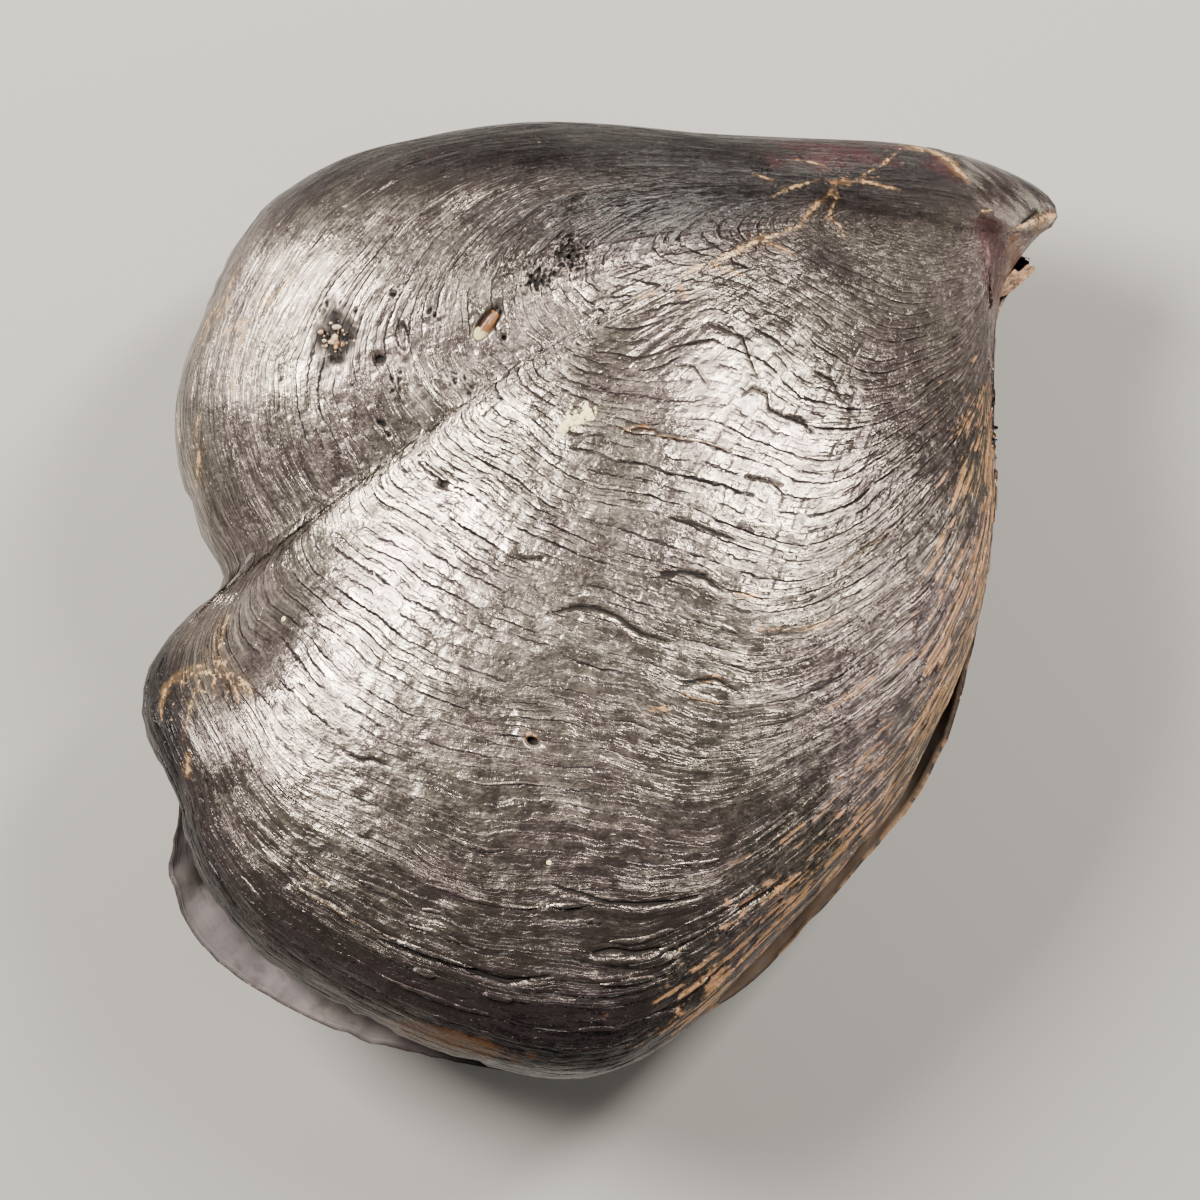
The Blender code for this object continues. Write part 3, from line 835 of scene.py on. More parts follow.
shingles = {
    "count": 330,
    "length": (6, 30),
    "width": (1.0, 2.6),
    "lift": (0.18, 0.62),
    "thickness": 0.2,
    "overhang": 0.25,
    "station": 0.75,
    "firstLayer": 12,
    "beak": (96, 92),
    "beakFree": 34,  # no strips this near the beak
    "tries": 20000,
    "seed": 23,
}


def layerSize(valve, place, turn):
    # the growth size at which a layer's edge lies, at each turn
    edge = onMargin(valve["curve"], turn)[0]
    growthAt = np.full(len(turn), place)
    for again in range(14):
        size = np.clip(growthAt / growth["reach"], 0.01, 1)
        plan = growthPlan(edge, size)
        growthAt = (place - growthBend(size, plan) - layerSway(valve, size, plan)) / youngShape(size, edge)
    return np.clip(growthAt / growth["reach"], 0.02, 0.998)


def stripPlan(valve):
    # where the broken layer edges lie: turns, layer, width, lift and how tan each is
    chance = np.random.default_rng(valve["seed"] + shingles["seed"])
    strips = []
    tries = 0
    while len(strips) < shingles["count"] and tries < shingles["tries"]:
        tries += 1
        turn = chance.random()
        layer = int(chance.integers(shingles["firstLayer"], len(valve["layerPlaces"])))
        draw = chance.random(6)
        place = valve["layerPlaces"][layer]
        if place > growth["reach"] * 0.995:
            continue
        size = layerSize(valve, place, np.array([turn]))
        edge = onMargin(valve["curve"], np.array([turn]))[0]
        plan = growthPlan(edge, size)
        rough = roughZone(plan)[0]
        rusty = math.exp(-(alongLine(plan, rust["line"])[0][0] / rust["stripReach"]) ** 2)
        beakAway = np.linalg.norm(plan[0] - shingles["beak"])
        if beakAway < shingles["beakFree"] or draw[0] > 0.06 + 0.94 * rough ** 1.3:
            continue
        if plan[0, 1] > 45 and rough < 0.2 and draw[0] > 0.02:
            continue
        short, long = shingles["length"]
        length = short + (long - short) * draw[1] ** 1.6
        tan = rusty * (0.3 + 0.6 * draw[2]) if draw[3] < 0.15 + 0.6 * rusty else 0.0
        if rusty < 0.15 and draw[3] < 0.1:
            tan = 0.6
        narrow, wide = shingles["width"]
        width = narrow + (wide - narrow) * draw[4]
        least, most = shingles["lift"]
        lift = least + (most - least) * draw[5] * (0.5 + 0.5 * rough)
        strips.append((turn, length / max(size[0], 0.3) / valve["around"], layer, width, lift, tan))
    return strips


def stripRows(valve):
    # a row for each station along each strip, and how many stations each strip has
    rows = []
    for turn, span, layer, width, lift, tan in stripPlan(valve):
        count = max(int(span * valve["around"] / shingles["station"]), 6)
        along = np.linspace(0, 1, count)
        rest = np.tile((layer, width, lift, tan), (count, 1))
        rows.append(np.column_stack([turn + span * (along - 0.5), along, rest]))
    return np.vstack(rows), [len(row) for row in rows]


def makeLayers(valve, name):
    # thin closed strips along the growth lines, lifted at their free edges
    table, counts = stripRows(valve)
    turn, along, layer, width, lift, tan = table.T
    seed = valve["seed"]
    size = np.empty(len(turn))
    for value in np.unique(layer):
        chosen = layer == value
        size[chosen] = layerSize(valve, valve["layerPlaces"][int(value)], turn[chosen])
    centre, inset, edge = smoothSurface(valve, size, turn)
    normal, pace = surfaceNormal(valve, size, turn, centre)
    taper = np.maximum(np.sin(math.pi * along), 0) ** 0.6
    ragged = 1 + 0.5 * softNoise(centre, 1.5, seed + 51) + 0.3 * softNoise(centre, 5, seed + 52)
    width = np.minimum(width, 3.2 * pace * np.mean(layers["spacing"]) * 0.5 + 0.5) * taper
    lift = lift * (0.35 + 0.65 * taper) * (0.75 + 0.5 * softNoise(centre, 3, seed + 53))
    inner = np.clip(size - width / (pace * growth["reach"]), 0.01, 0.998)
    base = smoothSurface(valve, inner, turn)[0]
    relief = outerRelief(valve, inner, base, edge)[0]
    if valve["facing"] > 0:
        relief = rightMarks(base[:, :2], relief)[0]
    overhang = shingles["overhang"] * taper * ragged
    thickness = shingles["thickness"] * (0.4 + 0.6 * taper)
    # across the strip: how far out along the growth, height over the valve and share of the tan edge
    section = [
        (-width, -0.14, 0.0),
        (-0.45 * width, 0.45 * lift, 0.25),
        (overhang - 0.12 * taper, lift, 0.8),
        (overhang, lift - 0.45 * thickness, 1.0),
        (overhang - 0.16 * taper, lift - thickness - 0.02, 1.0),
        (-0.6 * width, -0.34 - 0.2 * taper, 0.2),
    ]
    item = addGrid(name, len(section), len(turn) - 1)
    mesh = item.data
    shares = vertexPlaces(mesh)
    column = np.rint((shares[:, 0] + 1) / 2 * len(section)).astype(int) % len(section)
    row = np.rint((shares[:, 1] + 1) / 2 * (len(turn) - 1)).astype(int)
    out = np.stack([np.broadcast_to(part[0], len(turn)) for part in section])[column, row]
    over = np.stack([np.broadcast_to(part[1], len(turn)) for part in section])[column, row]
    tip = np.array([part[2] for part in section])[column] * tan[row]
    ends = taper[row] < 1e-6
    out = np.where(ends, 0, out)
    over = np.where(ends, -0.2, over)
    where = np.clip(size[row] + out / (pace[row] * growth["reach"]), 0.005, 0.9995)
    places, inset, edges = smoothSurface(valve, where, turn[row])
    normals, paces = surfaceNormal(valve, where, turn[row], places)
    rough, count, presence = outerRelief(valve, where, places, edges)[1:]
    moved = places + normals * (relief[row] + over)[:, None]
    setPlaces(mesh, openedValve(moved, valve["facing"]))
    zero = np.zeros(len(row))
    plain = (zero + farAway, zero, zero)
    plan = places[:, :2]
    vein = nearestLine(plan, veins) if valve["facing"] > 0 else plain
    storeFinish(mesh, where, edges, plan, count, presence, tip, paces, rough, zero, plain, vein, zero)
    # the faces between one strip and the next go
    lastRows = np.cumsum(counts)[:-1] - 1
    selectFaces(item, np.isin(faceRows(mesh, row), lastRows))
    bpy.ops.object.mode_set(mode="EDIT")
    bpy.ops.mesh.delete(type="FACE")
    bpy.ops.object.mode_set(mode="OBJECT")
    mergeAndTurnOut(item, 0.002)
    return item


def faceRows(mesh, row):
    # the lower of the two rows that each face of a grid spans
    loops = np.empty(len(mesh.loops), int)
    mesh.loops.foreach_get("vertex_index", loops)
    return row[loops].reshape(-1, 4).min(axis=1)


def put(tree, kind, settings=None, **values):
    # a new node with its settings, and its inputs set or linked by name or as i0, i1, ...
    made = tree.nodes.new(kind)
    for name, value in (settings or {}).items():
        setattr(made, name, value)
    for name, value in values.items():
        socket = made.inputs[int(name[1:])] if name[0] == "i" and name[1:].isdigit() else made.inputs[name]
        if isinstance(value, bpy.types.NodeSocket):
            tree.links.new(value, socket)
        else:
            socket.default_value = value
    return made


def maths(tree, operation, first, second=0.0, clamp=False):
    settings = {"operation": operation, "use_clamp": clamp}
    return put(tree, "ShaderNodeMath", settings, i0=first, i1=second).outputs[0]


def summed(tree, start, terms):
    # a start value plus each value times its factor
    total = start
    for value, factor in terms:
        added = put(tree, "ShaderNodeMath", {"operation": "MULTIPLY_ADD"}, i0=value, i1=factor, i2=total)
        total = added.outputs[0]
    return total


def times(tree, *values):
    total = values[0]
    for value in values[1:]:
        total = maths(tree, "MULTIPLY", total, value)
    return total


def less(tree, start, value, factor=1.0):
    return maths(tree, "SUBTRACT", start, maths(tree, "MULTIPLY", value, factor), True)


def centred(tree, value):
    # a noise from about -0.5 to 0.5
    return maths(tree, "SUBTRACT", value, 0.5)


def between(tree, value, low, high, toLow=0.0, toHigh=1.0):
    made = put(tree, "ShaderNodeMapRange", {"interpolation_type": "SMOOTHSTEP"}, i0=value, i1=low,
               i2=high, i3=toLow, i4=toHigh)
    return made.outputs[0]


def blend(tree, share, first, second, mode="MIX"):
    made = put(tree, "ShaderNodeMix", {"data_type": "RGBA", "blend_type": mode}, i0=share)
    for index, value in ((6, first), (7, second)):
        if isinstance(value, bpy.types.NodeSocket):
            tree.links.new(value, made.inputs[index])
        else:
            made.inputs[index].default_value = (*value, 1)
    return made.outputs[2]


def noiseOn(tree, vector, scale, detail=3.0, roughness=0.55, distortion=0.0):
    made = put(tree, "ShaderNodeTexNoise", None, Vector=vector, Scale=scale, Detail=detail,
               Roughness=roughness, Distortion=distortion)
    return made.outputs[0]


def joined(tree, x, y, z):
    return put(tree, "ShaderNodeCombineXYZ", None, i0=x, i1=y, i2=z).outputs[0]


def scaled(tree, vector, factors):
    return put(tree, "ShaderNodeVectorMath", {"operation": "MULTIPLY"}, i0=vector, i1=factors).outputs[0]


def addGroup(name, inputs, outputs):
    group = bpy.data.node_groups.new(name, "ShaderNodeTree")
    for label, kind, value in inputs:
        socket = group.interface.new_socket(name=label, in_out="INPUT", socket_type=kind)
        if value is not None:
            socket.default_value = value
    for label, kind in outputs:
        group.interface.new_socket(name=label, in_out="OUTPUT", socket_type=kind)
    return group, group.nodes.new("NodeGroupInput"), group.nodes.new("NodeGroupOutput")


def makeLineFamily():
    # one family of growth lines: a painted shadow line where each thin layer ends, also a groove in the
    # relief, a painted highlight on the lip before it, and how the layer rises to it
    number, vector = "NodeSocketFloat", "NodeSocketVector"
    group, given, result = addGroup(
        "lineFamily",
        [("Layer", number, 0.0), ("Number", number, 1.0), ("Growth", vector, None), ("Place", vector, None),
         ("SwayScale", number, 0.3), ("Sway", number, 0.3), ("Dash", number, 0.05), ("Seed", number, 0.0),
         ("Width", number, 0.2), ("Whole", number, 0.5)],
        [("Line", number), ("Rise", number), ("LitCrest", number), ("Own", number)])
    sway = noiseOn(group, given.outputs["Place"], given.outputs["SwayScale"], 2.0, 0.6)
    sway = times(group, centred(group, sway), given.outputs["Sway"])
    spot = maths(group, "ADD", times(group, given.outputs["Layer"], given.outputs["Number"]), sway)
    index = maths(group, "FLOOR", spot)
    rise = maths(group, "SUBTRACT", spot, index)
    parts = put(group, "ShaderNodeSeparateXYZ", None, i0=given.outputs["Growth"]).outputs
    own = summed(group, given.outputs["Seed"], [(index, 5.3)])
    dashes = joined(group, times(group, parts[0], given.outputs["Dash"]),
                    times(group, parts[1], given.outputs["Dash"]), own)
    dashes = noiseOn(group, dashes, 1.0, 2.0, 0.6)
    low = maths(group, "SUBTRACT", given.outputs["Whole"], 0.05)
    high = maths(group, "ADD", given.outputs["Whole"], 0.05)
    mask = between(group, dashes, low, high)
    # painted shadow just past each free edge, and a painted highlight on the lip before it
    line = between(group, rise, 0.0, given.outputs["Width"], 1.0, 0.0)
    litCrest = between(group, rise, 0.55, 0.95)
    for name, value in (("Line", times(group, line, mask)), ("Rise", times(group, rise, mask)),
                        ("LitCrest", times(group, litCrest, mask)), ("Own", dashes)):
        group.links.new(value, result.inputs[name])
    return group


hornLook = {
    "deep": (0.0034, 0.0024, 0.0027),
    "body": (0.0330, 0.0262, 0.0265),
    "worn": (0.180, 0.158, 0.140),
    "polished": (0.57, 0.515, 0.425),
    # pale scratches, which also serve as painted glints
    "scratchAndGlint": (0.45, 0.41, 0.33),
    "rust": (0.200, 0.118, 0.046),
    "salmon": (0.28, 0.150, 0.080),
    "cream": (0.50, 0.36, 0.19),
    "orange": (0.22, 0.050, 0.016),
    "red": (0.022, 0.0030, 0.0048),
    "amber": (0.070, 0.030, 0.010),
    # painted shade in the splits, holes, pits and grooves
    "silver": (0.26, 0.245, 0.215),
    "hollowShade": (0.003, 0.002, 0.002),
    "inside": (0.135, 0.118, 0.128),
    "insidePale": (0.20, 0.18, 0.175),
    "insideDark": (0.075, 0.058, 0.055),
    "tints": ((1.045, 0.975, 1.015), (0.99, 0.985, 0.95)),
    "shade": 0.605,
    "sheen": 0.88,
    "roughness": (0.21, 0.32),
    "insideRoughness": 0.36,
    "edgeShare": (("coarse", 0.70), ("middle", 0.74)),  # growth lines with tan edges, and how few
}
# noises in the horn, from broad to fine: scale, detail and roughness
hornNoises = {
    "tinted": (0.045, 3.0, 0.55),
    "patches": (0.05, 3.0, 0.62),
    "faded": (0.07, 1.0, 0.55),
    "blotches": (0.16, 3.0, 0.65),
    "broken": (0.35, 2.0, 0.6),
    "hammered": (0.42, 2.0, 0.6),
    "patchy": (0.6, 2.0, 0.6),
    "grain": (1.15, 3.0, 0.7),
    "scratchesAndGlints": (1.9, 2.0, 0.6),
}
# growth lines, coarse to fine: lines in a layer, sway scale, sway, dash, seed, line width, how whole
lineLooks = {
    "coarse": (1.0, 0.35, 0.28, 0.05, 1.0, 0.15, 0.48),
    "middle": (2.0, 0.45, 0.5, 0.07, 4.0, 0.20, 0.50),
    "fine": (5.0, 0.8, 0.9, 0.12, 9.0, 0.30, 0.50),
}
lineClear = (0.18, 0.42)  # millimetres between lines at which they fade out and are whole
# how much each thing lightens the horn; the shaded lines paint shadow past the layers' free edges and the lit
# crests paint light on their lips
shadeWeights = {
    "patches": 0.32, "grain": 0.4, "blotches": 0.12, "hammered": 0.2, "streaks": 0.95,
    "middleLitCrest": 0.20, "fineLitCrest": 0.12, "coarseLine": -0.85, "middleLine": -0.6, "fineLine": -0.3,
    # the coarse, broken zone is darker, which along the bottom of the lower lobe is painted shade
    # the dark share darkens both real stains and painted shade on the top band and the bottom
    "dark": -0.82, "rough": -0.20, "matte": 0.08, "beak": 0.12,
}
# how much each thing roughens it
roughWeights = {
    "grain": 0.25, "streaks": -0.4, "coarseLine": 0.2, "middleLine": 0.15, "fineLine": 0.1,
    "rough": 0.04, "hollowShade": 0.5, "core": 0.2, "matte": 0.10, "split": 0.5, "dark": -0.04,
}
# how far each thing stands up, in millimetres
heightWeights = {
    "coarseRise": 0.26, "coarseLine": -0.32, "middleRise": 0.16, "middleLine": -0.22,
    "fineRise": 0.06, "fineLine": -0.08, "grain": 0.06, "hammered": 0.13, "streaks": 0.24, "split": -0.4,
}
# what each stored value of a valve holds
storedParts = {
    "growth": ("marginX", "marginY", "grown"),
    "layers": ("count", "presence", "tip"),
    "tone": ("rust", "inside", "beak"),
    # the hollow share is painted shade
    "shadeAndWear": ("hollowShade", "rough", "spacing"),
    # the dark stain share is partly painted shade
    "stainAndShade": ("dark", "red", "amber"),
    "crack": ("crackAway", "crackWidth", "matte"),
    "vein": ("veinAway", "veinWidth", "warmth"),
}


def newMaterial(name):
    material = bpy.data.materials.new(name)
    material.use_nodes = True
    tree = material.node_tree
    return material, tree, tree.nodes["Principled BSDF"]


def attributeParts(tree, name):
    made = put(tree, "ShaderNodeAttribute", {"attribute_name": name})
    parts = put(tree, "ShaderNodeSeparateXYZ", None, i0=made.outputs["Vector"])
    return made.outputs["Vector"], parts.outputs


def placeInMm(tree):
    place = put(tree, "ShaderNodeTexCoord").outputs["Object"]
    return scaled(tree, place, (1 / mm, 1 / mm, 1 / mm))


def readHorn(tree, family):
    # everything that the horn's finish reads at a point, by name
    at = {"place": placeInMm(tree)}
    for name, parts in storedParts.items():
        way, sockets = attributeParts(tree, name)
        at[name + "Way"] = way
        at.update(zip(parts, sockets))
    for name, (scale, detail, roughness) in hornNoises.items():
        at[name] = noiseOn(tree, at["place"], scale, detail, roughness)
    streakPlace = joined(tree, times(tree, at["marginX"], 0.10), times(tree, at["marginY"], 0.10),
                         times(tree, at["count"], 2.2))
    at["streaks"] = noiseOn(tree, streakPlace, 1.0, 4.0, 0.72)
    addLines(tree, family, at)
    return at


def addLines(tree, family, at):
    # growth lines fade where they would crowd together, in places, and on the beak
    fade = between(tree, at["faded"], 0.33, 0.6, 0.7, 1.0)
    for kind, (count, swayScale, sway, dash, seed, width, whole) in lineLooks.items():
        made = put(tree, "ShaderNodeGroup", {"node_tree": family}, Layer=at["count"], Number=count,
                   Growth=at["growthWay"], Place=at["place"], SwayScale=swayScale, Sway=sway,
                   Dash=dash, Seed=seed, Width=width, Whole=whole)
        clear = between(tree, at["spacing"], lineClear[0] * count, lineClear[1] * count)
        clear = times(tree, clear, less(tree, 1.0, at["beak"], 0.85), fade)
        for part in ("Line", "Rise", "LitCrest"):
            at[kind + part] = times(tree, made.outputs[part], clear)
        at[kind + "Own"] = made.outputs["Own"]
    at["coarseLine"] = times(tree, at["coarseLine"], maths(tree, "MINIMUM", at["presence"], 1.2))


def weighed(tree, at, start, weights, fromMiddle):
    # a start value plus each named value times its weight
    terms = []
    for name, weight in weights.items():
        noise = fromMiddle and (name in hornNoises or name == "streaks")
        terms.append((centred(tree, at[name]) if noise else at[name], weight))
    return summed(tree, start, terms)


def hornBody(tree, at):
    # from brown-black to polished grey as the shade rises, with pale scratches that also act as painted
    # glints
    colour = hornLook["deep"]
    for name, low, high in (("body", 0.0, 0.42), ("worn", 0.3, 0.75), ("polished", 0.6, 1.15)):
        colour = blend(tree, between(tree, at["shade"], low, high), colour, hornLook[name])
    scratchesAndGlints = times(tree, between(tree, at["scratchesAndGlints"], 0.66, 0.74),
                   between(tree, at["blotches"], 0.42, 0.62), 0.45)
    return blend(tree, scratchesAndGlints, colour, hornLook["scratchAndGlint"])


def hornStains(tree, at, colour):
    # the silvery worn beak, then dark red and amber stains with blotchy edges
    turned = put(tree, "ShaderNodeVectorRotate", {"rotation_type": "Z_AXIS"}, Vector=at["place"], Angle=0.7)
    silver = noiseOn(tree, scaled(tree, turned.outputs[0], (0.07, 0.5, 0.2)), 1.0, 4.0, 0.65)
    silver = blend(tree, between(tree, silver, 0.40, 0.62), hornLook["body"], hornLook["silver"])
    colour = blend(tree, times(tree, at["beak"], less(tree, 1.0, at["dark"], 0.9), 0.8), colour, silver)
    uneven = centred(tree, at["blotches"])
    red = between(tree, summed(tree, at["red"], [(uneven, 1.6)]), 0.3, 0.85)
    colour = blend(tree, times(tree, red, 0.75), colour, hornLook["red"])
    at["amberShare"] = between(tree, summed(tree, at["amber"], [(uneven, 1.5)]), 0.25, 0.8)
    share = times(tree, at["amberShare"], less(tree, 0.9, at["middleLine"], 0.6))
    return blend(tree, share, colour, hornLook["amber"])


def hornEdges(tree, at, colour):
    # tan layer edges: dashes along the growth lines, and the tips of the broken strips
    warm = blend(tree, between(tree, at["hammered"], 0.42, 0.6), hornLook["rust"], hornLook["salmon"])
    warm = blend(tree, times(tree, between(tree, at["grain"], 0.5, 0.62), 0.35), warm, hornLook["cream"])
    uneven = centred(tree, at["hammered"])
    at["edges"] = 0.0
    for kind, low in hornLook["edgeShare"]:
        share = summed(tree, at[kind + "Own"], [(at["rust"], 0.25), (uneven, 0.3)])
        share = times(tree, between(tree, share, low, low + 0.08),
                      between(tree, at[kind + "Rise"], 0.38, 0.56), between(tree, at["rust"], 0.1, 0.4))
        colour = blend(tree, times(tree, share, 0.88), colour, warm)
        at["edges"] = maths(tree, "MAXIMUM", at["edges"], share)
    tip = summed(tree, at["tip"], [(centred(tree, at["grain"]), 0.8)])
    at["tan"] = between(tree, tip, 0.3, 0.6)
    return blend(tree, times(tree, at["tan"], 0.9), colour, warm)


def hornVeins(tree, at, colour):
    # light veins, patchy and ragged, each with a faint warm edge
    away = summed(tree, maths(tree, "ABSOLUTE", at["veinAway"]),
                  [(centred(tree, at["grain"]), 2.2), (centred(tree, at["broken"]), 2.4)])
    own = between(tree, at["veinWidth"], 0.03, 0.1)
    patchy = between(tree, at["patchy"], 0.40, 0.52)
    core = between(tree, away, times(tree, at["veinWidth"], 0.2),
                   summed(tree, 0.04, [(at["veinWidth"], 0.85)]), 1.0, 0.0)
    halo = between(tree, away, times(tree, at["veinWidth"], 0.8),
                   summed(tree, 0.3, [(at["veinWidth"], 2.3)]), 1.0, 0.0)
    at["core"] = times(tree, own, patchy, core)
    colour = blend(tree, times(tree, own, halo, 0.3), colour, hornLook["rust"])
    tone = blend(tree, at["warmth"], hornLook["cream"], hornLook["orange"])
    tone = blend(tree, between(tree, at["broken"], 0.5, 0.4, 0.0, 0.45), tone, hornLook["salmon"])
    return blend(tree, times(tree, at["core"], 0.7), colour, tone)


def hornHollowShade(tree, at, colour):
    # painted shade: black in the splits, holes, pits and grooves
    away = summed(tree, maths(tree, "ABSOLUTE", at["crackAway"]), [(centred(tree, at["grain"]), 0.7)])
    gap = between(tree, away, times(tree, at["crackWidth"], 0.6),
                  summed(tree, 0.06, [(at["crackWidth"], 1.1)]), 1.0, 0.0)
    at["split"] = times(tree, gap, between(tree, at["crackWidth"], 0.02, 0.08))
    holes = times(tree, between(tree, at["hollowShade"], 0.25, 0.75), 0.96)
    return blend(tree, maths(tree, "MAXIMUM", at["split"], holes), colour, hornLook["hollowShade"])


def hornInside(tree, at):
    # the pale grey inner wall, with rays from the beak and a rusty lip
    alongMargin = joined(tree, times(tree, at["marginX"], 0.12), times(tree, at["marginY"], 0.12), 0.0)
    rays = noiseOn(tree, alongMargin, 1.0, 3.0)
    pearl = blend(tree, between(tree, rays, 0.35, 0.7), hornLook["inside"], hornLook["insidePale"])
    dull = times(tree, between(tree, at["blotches"], 0.45, 0.7), 0.6)
    pearl = blend(tree, dull, pearl, hornLook["insideDark"])
    rusty = between(tree, at["grain"], 0.36, 0.56, 0.05, 0.6)
    rusty = times(tree, rusty, between(tree, at["rust"], 0.2, 0.7))
    return blend(tree, rusty, pearl, hornLook["rust"])


def hornColour(tree, at):
    colour = hornStains(tree, at, hornBody(tree, at))
    colour = hornEdges(tree, at, colour)
    tint = blend(tree, between(tree, at["tinted"], 0.38, 0.62), *hornLook["tints"])
    colour = blend(tree, 1.0, colour, tint, "MULTIPLY")
    colour = hornHollowShade(tree, at, hornVeins(tree, at, colour))
    return blend(tree, at["inside"], colour, hornInside(tree, at))


def hornRoughness(tree, at):
    start = between(tree, at["blotches"], 0.3, 0.7, *hornLook["roughness"])
    rough = weighed(tree, at, start, roughWeights, True)
    rough = put(tree, "ShaderNodeClamp", None, i0=rough, i1=0.18, i2=0.95).outputs[0]
    mixed = put(tree, "ShaderNodeMix", {"data_type": "FLOAT"}, i0=at["inside"], i2=rough,
                i3=hornLook["insideRoughness"])
    return mixed.outputs[0]


def hornSheen(tree, at):
    # the satin sheen of worn horn, which holes, stains, veins and tan edges lack
    sheen = times(tree, between(tree, at["shade"], 0.05, 0.5), hornLook["sheen"])
    for name, factor in (("hollowShade", 1.0), ("split", 1.0), ("inside", 1.0), ("core", 1.0), ("tan", 1.0),
                         ("edges", 0.8), ("amberShare", 0.6), ("matte", 0.3)):
        sheen = times(tree, sheen, less(tree, 1.0, at[name], factor))
    return sheen


def hornHeight(tree, at):
    height = weighed(tree, at, 0.0, heightWeights, False)
    height = times(tree, height, summed(tree, 1.0, [(at["rough"], 0.7)]))
    for name, factor in (("inside", 0.92), ("beak", 0.6), ("matte", 0.5)):
        height = times(tree, height, less(tree, 1.0, at[name], factor))
    return height


def finish(tree, shader, colour, roughness, height=None, strength=1.0):
    # link a finish's colour, its roughness and its relief in millimetres
    tree.links.new(colour, shader.inputs["Base Color"])
    tree.links.new(roughness, shader.inputs["Roughness"])
    if height is not None:
        bump = put(tree, "ShaderNodeBump", None, Strength=strength, Distance=mm, Height=height)
        tree.links.new(bump.outputs[0], shader.inputs["Normal"])


def makeHorn(name, family):
    material, tree, shader = newMaterial(name)
    at = readHorn(tree, family)
    at["shade"] = weighed(tree, at, hornLook["shade"], shadeWeights, True)
    colour = hornColour(tree, at)
    finish(tree, shader, colour, hornRoughness(tree, at), hornHeight(tree, at))
    tree.links.new(hornSheen(tree, at), shader.inputs["Metallic"])
    shader.inputs["Specular IOR Level"].default_value = 0.22
    return material


limeLook = {"light": (0.66, 0.58, 0.30), "dark": (0.28, 0.22, 0.11)}
clamLook = {
    "amber": (0.105, 0.034, 0.008), "brown": (0.016, 0.006, 0.0025), "pale": (0.17, 0.075, 0.022),
    "cream": (0.40, 0.34, 0.17), "black": (0.003, 0.0015, 0.0015),
}
grainLook = {"pale": (0.36, 0.27, 0.20), "warm": (0.26, 0.13, 0.06), "dark": (0.010, 0.007, 0.007)}
ligamentLook = {"deep": (0.006, 0.004, 0.003), "dry": (0.05, 0.03, 0.018)}


def makeLime():
    material, tree, shader = newMaterial("chalkyLime")
    grain = noiseOn(tree, placeInMm(tree), 1.6, 4.0, 0.65)
    colour = blend(tree, between(tree, grain, 0.52, 0.36), limeLook["light"], limeLook["dark"])
    finish(tree, shader, colour, between(tree, grain, 0.3, 0.7, 0.95, 0.7), times(tree, grain, 0.25))
    return material


def makeGrainFinish():
    # grains are pale, warm or dark, by a value that each one holds
    material, tree, shader = newMaterial("pitGrains")
    kind = attributeParts(tree, "tone")[1][0]
    grain = noiseOn(tree, placeInMm(tree), 1.8, 3.0)
    colour = blend(tree, between(tree, kind, 0.24, 0.3), grainLook["pale"], grainLook["warm"])
    colour = blend(tree, between(tree, kind, 0.48, 0.54), colour, grainLook["dark"])
    colour = blend(tree, times(tree, between(tree, grain, 0.5, 0.3), 0.6), colour, grainLook["dark"])
    finish(tree, shader, colour, between(tree, grain, 0.3, 0.7, 0.35, 0.6))
    return material


def makeClamFinish():
    # amber above and brown at one side, cream at the near end and black past the rim of the far end
    material, tree, shader = newMaterial("clamShell")
    along, across = attributeParts(tree, "tone")[1][:2]
    grain = noiseOn(tree, placeInMm(tree), 1.1, 4.0, 0.6)
    rings = put(tree, "ShaderNodeTexWave", {"wave_type": "BANDS"}, i0=joined(tree, along, 0.0, 0.0),
                Scale=3.2, Distortion=1.5).outputs[1]
    colour = blend(tree, between(tree, across, -0.1, 0.75), clamLook["amber"], clamLook["brown"])
    colour = blend(tree, times(tree, between(tree, across, -0.25, -0.7), 0.8), colour, clamLook["pale"])
    colour = blend(tree, times(tree, between(tree, rings, 0.5, 0.9), 0.25), colour, clamLook["brown"])
    nearEnd = summed(tree, along, [(centred(tree, grain), 0.5)])
    colour = blend(tree, between(tree, nearEnd, -0.34, -0.5), colour, clamLook["cream"])
    colour = blend(tree, between(tree, along, 0.7, 0.74), colour, clamLook["black"])
    rim = times(tree, between(tree, along, 0.62, 0.67), between(tree, along, 0.76, 0.71))
    colour = blend(tree, times(tree, rim, 0.7), colour, clamLook["pale"])
    height = summed(tree, times(tree, rings, 0.05), [(grain, 0.1)])
    finish(tree, shader, colour, between(tree, along, -0.3, -0.5, 0.28, 0.7), height, 0.8)
    return material


def makeLigamentFinish():
    material, tree, shader = newMaterial("driedLigament")
    threads = noiseOn(tree, scaled(tree, placeInMm(tree), (0.25, 1.6, 1.6)), 1.0, 4.0, 0.65)
    colour = blend(tree, between(tree, threads, 0.35, 0.7), ligamentLook["deep"], ligamentLook["dry"])
    finish(tree, shader, colour, between(tree, threads, 0.3, 0.7, 0.7, 0.5), times(tree, threads, 0.3))
    return material


def makeFloorFinish(colour):
    material, tree, shader = newMaterial("floorPaper")
    shader.inputs["Base Color"].default_value = (*colour, 1)
    shader.inputs["Roughness"].default_value = 0.9
    return material


def give(item, material):
    item.data.materials.clear()
    item.data.materials.append(material)


def claim(item, material, slot, *nodes):
    give(item, material)
    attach(item, "root")
    if nodes:
        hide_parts(*nodes)


hornFinish = makeHorn("shellHorn", makeLineFamily())
rightItem = makeValve(rightValve)
leftItem = makeValve(leftValve)
print("valves shaped:", len(rightItem.data.polygons), len(leftItem.data.polygons))
rightLayers = makeLayers(rightValve, "right_valve_layers")
leftLayers = makeLayers(leftValve, "left_valve_layers")
print("layer edges shaped:", len(rightLayers.data.polygons), len(leftLayers.data.polygons))

